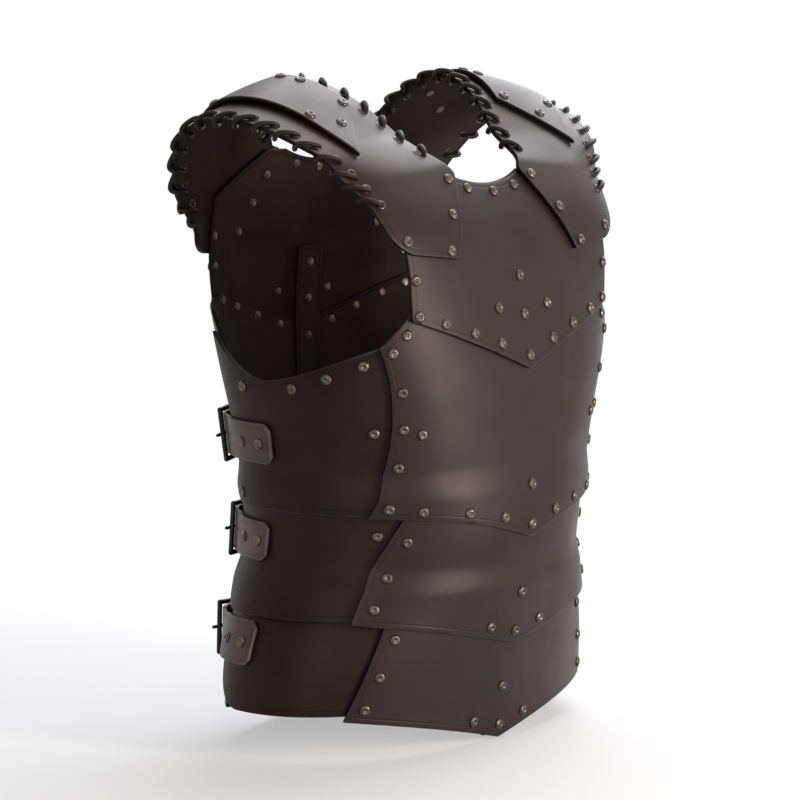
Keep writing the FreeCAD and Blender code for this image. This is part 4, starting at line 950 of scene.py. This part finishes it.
# Profiles as (radius, height). A rise is how far the CAD's head stands above the leather, and a
# seat is how deep the turned head sits below that surface.
CAP_PROFILE = [(0, 0.85), (1.3, 0.95), (1.75, 1.84), (2.7, 1.8), (3.7, 1.3), (4.4, 0.5),
               (4.6, 0.02), (1.5, 0)]
WASHER_PROFILE = [(0, 0.85), (2.8, 0.82), (3.9, 0.5), (4.2, 0), (1.5, 0)]
EYELET_PROFILE = [(2.15, -3.0), (2.15, 0.35), (2.4, 0.62), (2.9, 0.74), (3.5, 0.6), (3.95, 0.28),
                  (4.1, 0.02), (2.7, 0), (2.7, -3.0), (2.15, -3.0)]
EYELET_FOOT_PROFILE = [(2.15, -1.0), (2.15, 0.5), (2.6, 0.66), (3.4, 0.55), (3.8, 0.1), (2.7, 0),
                       (2.7, -1.0), (2.15, -1.0)]
RIVET_SEAT, EYELET_SEAT, EYELET_RISE = 0.42, 0.15, 0.6
CAP_RISE, WASHER_RISE = 1.9, 1.0


def set_hardware(node, head, foot, head_height, foot_height, seat):
    bm = bmesh.new()
    for axis, top, bottom in solids_of(node):
        for mesh, spot, way, height in ((head, top, axis, head_height),
                                        (foot, bottom, -axis, foot_height)):
            start = len(bm.verts)
            bm.from_mesh(mesh)
            bm.verts.ensure_lookup_table()
            turn = way.to_track_quat("Z", "Y").to_matrix().to_4x4()
            place = Matrix.Translation(spot - way * (height + seat) * MM) @ turn
            bmesh.ops.transform(bm, matrix=place, verts=bm.verts[start:])
    new_piece("brass_" + node, bm, (BRASS,), node)


RIVET_HEAD, RIVET_FOOT = spun(CAP_PROFILE), spun(WASHER_PROFILE)
EYELET_HEAD, EYELET_FOOT = spun(EYELET_PROFILE), spun(EYELET_FOOT_PROFILE)
for node in sorted(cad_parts):
    if node.endswith(("rivets", "rivets_L", "rivets_R")):
        set_hardware(node, RIVET_HEAD, RIVET_FOOT, CAP_RISE, WASHER_RISE, RIVET_SEAT)
set_hardware("lace_eyelets", EYELET_HEAD, EYELET_FOOT, EYELET_RISE, EYELET_RISE, EYELET_SEAT)
for mesh in (RIVET_HEAD, RIVET_FOOT, EYELET_HEAD, EYELET_FOOT):
    bpy.data.meshes.remove(mesh)


# Three fastenings a side: level, tier, and the depth where the billet starts. The billet runs
# back over the buckle, which a tab folded round its heel bar holds on the back plate.
FASTENINGS = {"top": (244, "plate", 8), "middle": (163, "upper", 20), "low": (84, "lower", 14)}
HEEL_REACH, BAR_SPAN, HALF_BILLET, BILLET = 112, 26, 16, 3.0
BAR, TAB_LEATHER, LOOP_RADIUS = 2.0, 2.1, 4.4
PRONG_SLOT, TAB_SLOT, SLOT_REACH = 2.35, 2.7, 22.1
TIP_REACH, TAB_REACH, BILLET_CLIP = 50, 68, 5
BILLET_SEAT, LOOP_GAP, BAR_SEAT, TAB_SEAT = 0.9, 0.5, 0.4, 0.6
KEEPER_START, KEEPER_END, KEEPER_LEATHER = 18.5, 29.5, 1.4
BILLET_SLOT_SPAN, TAB_SLOT_SPAN = (0.4, 0.65), (0.35, 0.6)


# The angle at a reach, measured round the body from the wearer's left towards the back, from
# rows of steps of one degree at levels above and below the fastening
LEVEL_STEP = 4.0


def angle_at_reach(reach, level, middle):
    levels = middle + np.arange(-6, 7) * LEVEL_STEP
    turned = np.arange(0, -121, -1.0)
    found = []
    for row in levels:
        steps = np.linalg.norm(np.diff(skin(turned, row), axis=0), axis=1)
        found.append(np.interp(reach, np.concatenate([[0], np.cumsum(steps)]), turned))
    found = np.array(found)
    at = np.clip((level - levels[0]) / LEVEL_STEP, 0, 11.999)
    low, pick = at.astype(int), np.arange(len(at))
    return mix(found[low, pick], found[low + 1, pick], at - low)


def beside(reach, lift, level, middle):
    reach, lift, level = as_rows(reach, lift, level)
    return lifted(angle_at_reach(reach, level, middle), level, lift)


def tab_lift(tier, level):
    return lift_of("back", tier, level) + LEATHER + TAB_SEAT


def heel_lift(tier, level):
    return tab_lift(tier, level) + LOOP_RADIUS


def tail_lift(tier, level):
    return tab_lift(tier, level) + 2 * TAB_LEATHER + BILLET_SEAT


def billet_lift(tier, reach, level):
    lying = lift_of("side", tier, level) + LEATHER + BILLET_SEAT
    over_loop = heel_lift(tier, level) + LOOP_RADIUS + LOOP_GAP
    climb = smooth((reach - (HEEL_REACH - 1.5 * BAR_SPAN)) / (1.3 * BAR_SPAN))
    drop = smooth((reach - HEEL_REACH - BAR) / (0.75 * BAR_SPAN))
    return mix(mix(lying, over_loop, climb), tail_lift(tier, level), drop)


# The heel bar's middle, and the ways ahead to the front bar, out of the body and up the bar
def buckle_place(tier, middle):
    heel, above, below = (beside(HEEL_REACH, heel_lift(tier, spot), spot, middle)[0]
                          for spot in (middle, middle + HALF_BILLET, middle - HALF_BILLET))
    up = (above - below) / np.linalg.norm(above - below)
    reach = np.linspace(HEEL_REACH - 1.4 * BAR_SPAN, HEEL_REACH - 0.6 * BAR_SPAN, 200)
    fronts = beside(reach, billet_lift(tier, reach, middle) + BILLET + BAR_SEAT + BAR, middle,
                    middle)
    front = fronts[np.argmin(np.abs(np.linalg.norm(fronts - heel, axis=1) - BAR_SPAN))]
    ahead = (front - heel) / np.linalg.norm(front - heel)
    up = up - ahead * (up @ ahead)
    up /= np.linalg.norm(up)
    return heel, ahead, np.cross(up, ahead), up


# Offset from the middle line of a slotted strip: over the slot first, then out to the rim
def across_slot(v, slot, rim):
    turn = np.abs(2 * v - 1)
    return np.sign(v - 0.5) * np.where(turn < SLOT_SHARE, slot * turn / SLOT_SHARE,
                                       mix(slot, rim, (turn - SLOT_SHARE) / (1 - SLOT_SHARE)))


# A billet: its corners are clipped, and it has a slot for the prong
def billet_place(tier, middle, first, up):
    last = HEEL_REACH + TIP_REACH
    slot_start, slot_end = HEEL_REACH - SLOT_REACH, HEEL_REACH + PRONG_SLOT

    def place(u, v, side):
        reach = np.interp(u, (0, 0.05, *BILLET_SLOT_SPAN, 0.95, 1),
                          (first, first + BILLET_CLIP, slot_start, slot_end,
                           last - BILLET_CLIP, last))
        clip = np.clip(BILLET_CLIP - np.minimum(reach - first, last - reach), 0, BILLET_CLIP)
        deep = np.clip(PRONG_SLOT - (reach - slot_start), 0, 0.93 * PRONG_SLOT)
        slot = np.sqrt(PRONG_SLOT ** 2 - deep ** 2)
        offset = across_slot(v, slot, HALF_BILLET - clip)
        level = middle + offset
        bent = beside(reach, billet_lift(tier, reach, level) + side * BILLET, level, middle)
        straight = beside(reach, billet_lift(tier, reach, middle) + side * BILLET, middle, middle)
        straight += up * offset[:, None]
        near = smooth((reach - HEEL_REACH + 2.2 * BAR_SPAN) / BAR_SPAN)
        far = smooth((HEEL_REACH + 1.2 * BAR_SPAN - reach) / BAR_SPAN)
        return mix(bent, straight, (near * far)[:, None])
    return place


# A tab: one strip folded round the heel bar, whose two ends lie on each other
FOLD_END, FOLD_GAP = 11, 0.02
LOOP_START, LOOP_END = 0.4, 0.55


def tab_fold(share):
    turn = np.radians(-90 - 180 * np.clip((share - LOOP_START) / (LOOP_END - LOOP_START), 0, 1))
    loop = LOOP_RADIUS - TAB_LEATHER / 2
    slot_start, slot_end = TAB_SLOT_SPAN
    behind = np.interp(share, (0, slot_start, LOOP_START, LOOP_END, slot_end, 0.65, 1),
                       (TAB_REACH, LOOP_RADIUS, 0, 0, LOOP_RADIUS, FOLD_END, TAB_REACH))
    upper = mix(LOOP_RADIUS + loop, 1.5 * TAB_LEATHER + FOLD_GAP, smooth(behind / FOLD_END))
    rise = np.where(share > 0.5, upper, TAB_LEATHER / 2 - FOLD_GAP)
    in_loop = (share > LOOP_START) & (share < LOOP_END)
    return pairs(np.where(in_loop, loop * np.cos(turn), behind),
                 np.where(in_loop, LOOP_RADIUS + loop * np.sin(turn), rise))


def folded_tab_place(tier, middle, frame_of):
    heel, ahead, out, up = frame_of

    def place(u, v, side):
        path = tab_fold(u)
        run = unit(tab_fold(np.minimum(u + 0.004, 1)) - tab_fold(np.maximum(u - 0.004, 0)))
        path = path + pairs(-run[:, 1], run[:, 0]) * (side - 0.5) * TAB_LEATHER
        offset = across_slot(v, TAB_SLOT, HALF_BILLET)
        behind, rise = path[:, 0], path[:, 1]
        level = middle + offset
        bent = beside(HEEL_REACH + behind, tab_lift(tier, level) + rise, level, middle)
        straight = (heel - ahead * behind[:, None] + out * (rise - LOOP_RADIUS)[:, None]
                    + up * offset[:, None])
        return mix(straight, bent, smooth((behind - 3) / 16)[:, None])
    return place


# A keeper: a narrow band round the billet and the tab's upper layer
KEEPER_CORNER = 2


def keeper_round():
    turns = np.linspace(0, math.pi / 2, 5)
    corner = KEEPER_CORNER * pairs(np.sin(turns), np.cos(turns))
    half, low, high = 17.2, TAB_LEATHER, 9.3
    right = [(0.08, low), (8, low)]
    right += [(half - KEEPER_CORNER + a, low + KEEPER_CORNER - b) for a, b in corner]
    right += [(half - KEEPER_CORNER + b, high - KEEPER_CORNER + a) for a, b in corner]
    right += [(8, high)]
    return np.array(right + [(0, high)] + [(-a, b) for a, b in reversed(right)])


def keeper_place(tier, middle):
    ring = keeper_round()
    run = unit(np.gradient(ring, axis=0))
    outward = pairs(run[:, 1], -run[:, 0])

    def place(u, v, side):
        step = np.rint(u * (len(ring) - 1)).astype(int)
        spot = ring[step] + outward[step] * (side - 0.5) * KEEPER_LEATHER
        level = middle + spot[:, 0]
        reach = HEEL_REACH + mix(KEEPER_START, KEEPER_END, v)
        return beside(reach, tab_lift(tier, level) + spot[:, 1], level, middle)
    return place


# Several sheets in one mesh
def joined(sheets):
    whole = bmesh.new()
    for sheet in sheets:
        mesh = mesh_of("sheet", sheet)
        whole.from_mesh(mesh)
        bpy.data.meshes.remove(mesh)
    return whole


keepers = []
for name, (middle, tier, start) in FASTENINGS.items():
    lift = lift_of("side", tier, middle) + LEATHER
    start_angle = angle_at_y(start, middle, lift)[0]
    reaches = np.arange(0, 100, 0.25)
    turned = angle_at_reach(reaches, np.full(len(reaches), middle), middle)
    first = reaches[turned <= start_angle][0]
    buckle = buckle_place(tier, middle)
    for side in SIDES:
        flip = side == "R"
        billet = leather_sheet(60, 20, billet_place(tier, middle, first, buckle[3]), edge=0.6,
                               mirrored=flip, slot=BILLET_SLOT_SPAN)
        new_piece("leather_billet_%s_%s" % (name, side), billet, BILLET_FINISH,
                  "billet_%s_%s" % (name, side))
        tab = leather_sheet(60, 20, folded_tab_place(tier, middle, buckle), edge=0.4,
                            mirrored=flip, slot=TAB_SLOT_SPAN)
        new_piece("folded_buckle_tab_%s_%s" % (name, side), tab, STRAP_FINISH,
                  "buckle_tab_%s_%s" % (name, side))
        keepers.append(leather_sheet(len(keeper_round()) - 1, 8, keeper_place(tier, middle),
                                     edge=0.3, mirrored=flip))
new_piece("leather_keepers", joined(keepers), STRAP_FINISH, "buckle_keepers")

# Buckle frames and prongs keep their solids
for node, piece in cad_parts.items():
    if node.startswith(("buckle_frame", "buckle_prong")):
        piece.data.materials.clear()
        piece.data.materials.append(STEEL)
        piece.data.shade_smooth()


# Camera, light and floor. The camera's heading and pitch follow the photograph.
camera_data = bpy.data.cameras.new("camera")
camera_data.lens, camera_data.sensor_width, camera_data.clip_end = 168.75, 36, 50
camera = placed("camera", camera_data)
heading, pitch = math.radians(50) - 0.003067, math.radians(6.66)
ahead = Vector((math.sin(heading) * math.cos(pitch), math.cos(heading) * math.cos(pitch),
                -math.sin(pitch)))
right = Vector((math.cos(heading), -math.sin(heading), 0))
up = right.cross(ahead)
camera.matrix_world = Matrix.Translation((-2.2981, -1.9284, 0.6141)) @ Matrix(
    (right, up, -ahead)).transposed().to_4x4()
bpy.context.scene.camera = camera


MIDDLE = (0, 0, 0.27)


def area_light(name, spot, size, power, colour):
    data = bpy.data.lights.new(name, "AREA")
    data.shape = "RECTANGLE"
    data.size, data.size_y = size
    data.energy = power
    data.color = colour
    lamp = placed(name, data)
    lamp.location = spot
    lamp.rotation_euler = (Vector(MIDDLE) - Vector(spot)).to_track_quat("-Z", "Y").to_euler()
    lamp.visible_camera = False


area_light("key_softbox", (0.3, -1.6, 0.42), (0.35, 0.85), 31, (1, 0.9, 0.82))
area_light("side_softbox", (-2.2, -1.6, 0.8), (1.2, 1.4), 16, (1, 0.93, 0.88))
area_light("rim_softbox", (2.0, 0.95, 1.0), (1.5, 1.8), 26, (0.86, 0.92, 1))
area_light("top_softbox", (1.0, 0.35, 2.0), (1.7, 2.1), 46, (0.97, 0.96, 1))


# White is what the camera, gloss and glass see, and other light is plain grey
GREY_SKY = 0.14


def seen_directly(tree):
    paths = add(tree, "ShaderNodeLightPath")
    mirrored = math_node(tree, "MAXIMUM", paths.outputs["Is Glossy Ray"],
                         paths.outputs["Is Transmission Ray"])
    return math_node(tree, "MAXIMUM", paths.outputs["Is Camera Ray"], mirrored)


world = bpy.data.worlds.new("studio")
bpy.context.scene.world = world
world.use_nodes = True
tree = world.node_tree
background = tree.nodes["Background"]
fill(tree, background, {"Strength": math_node(tree, "MAXIMUM", seen_directly(tree), GREY_SKY),
                        "Color": (1, 1, 1, 1)})
bpy.context.scene.view_settings.view_transform = "Standard"

# The floor is pale and takes the shadow near the middle, and further out it is plain white
bm = bmesh.new()
bmesh.ops.create_grid(bm, x_segments=1, y_segments=1, size=60)
bmesh.ops.translate(bm, verts=bm.verts, vec=(0, 0, cad_bounds[0][2] - MM))
floor = placed("floor", mesh_of("floor", bm))
pale, tree, shader = shader_of("pale_floor")
fill(tree, shader, {"Base Color": (0.85, 0.85, 0.85, 1), "Roughness": 0.9,
                    "Specular IOR Level": 0})
reach = add(tree, "ShaderNodeVectorMath", {0: object_coords(tree)}, operation="LENGTH")
share = times(tree, seen_directly(tree), ramp(tree, reach.outputs["Value"], 0.3, 1.1, 0.4, 1.0))
blend = add(tree, "ShaderNodeMixShader", {0: share, 1: shader.outputs[0],
                                          2: add(tree, "ShaderNodeEmission").outputs[0]})
fill(tree, tree.nodes["Material Output"], {"Surface": blend.outputs[0]})
floor.data.materials.append(pale)
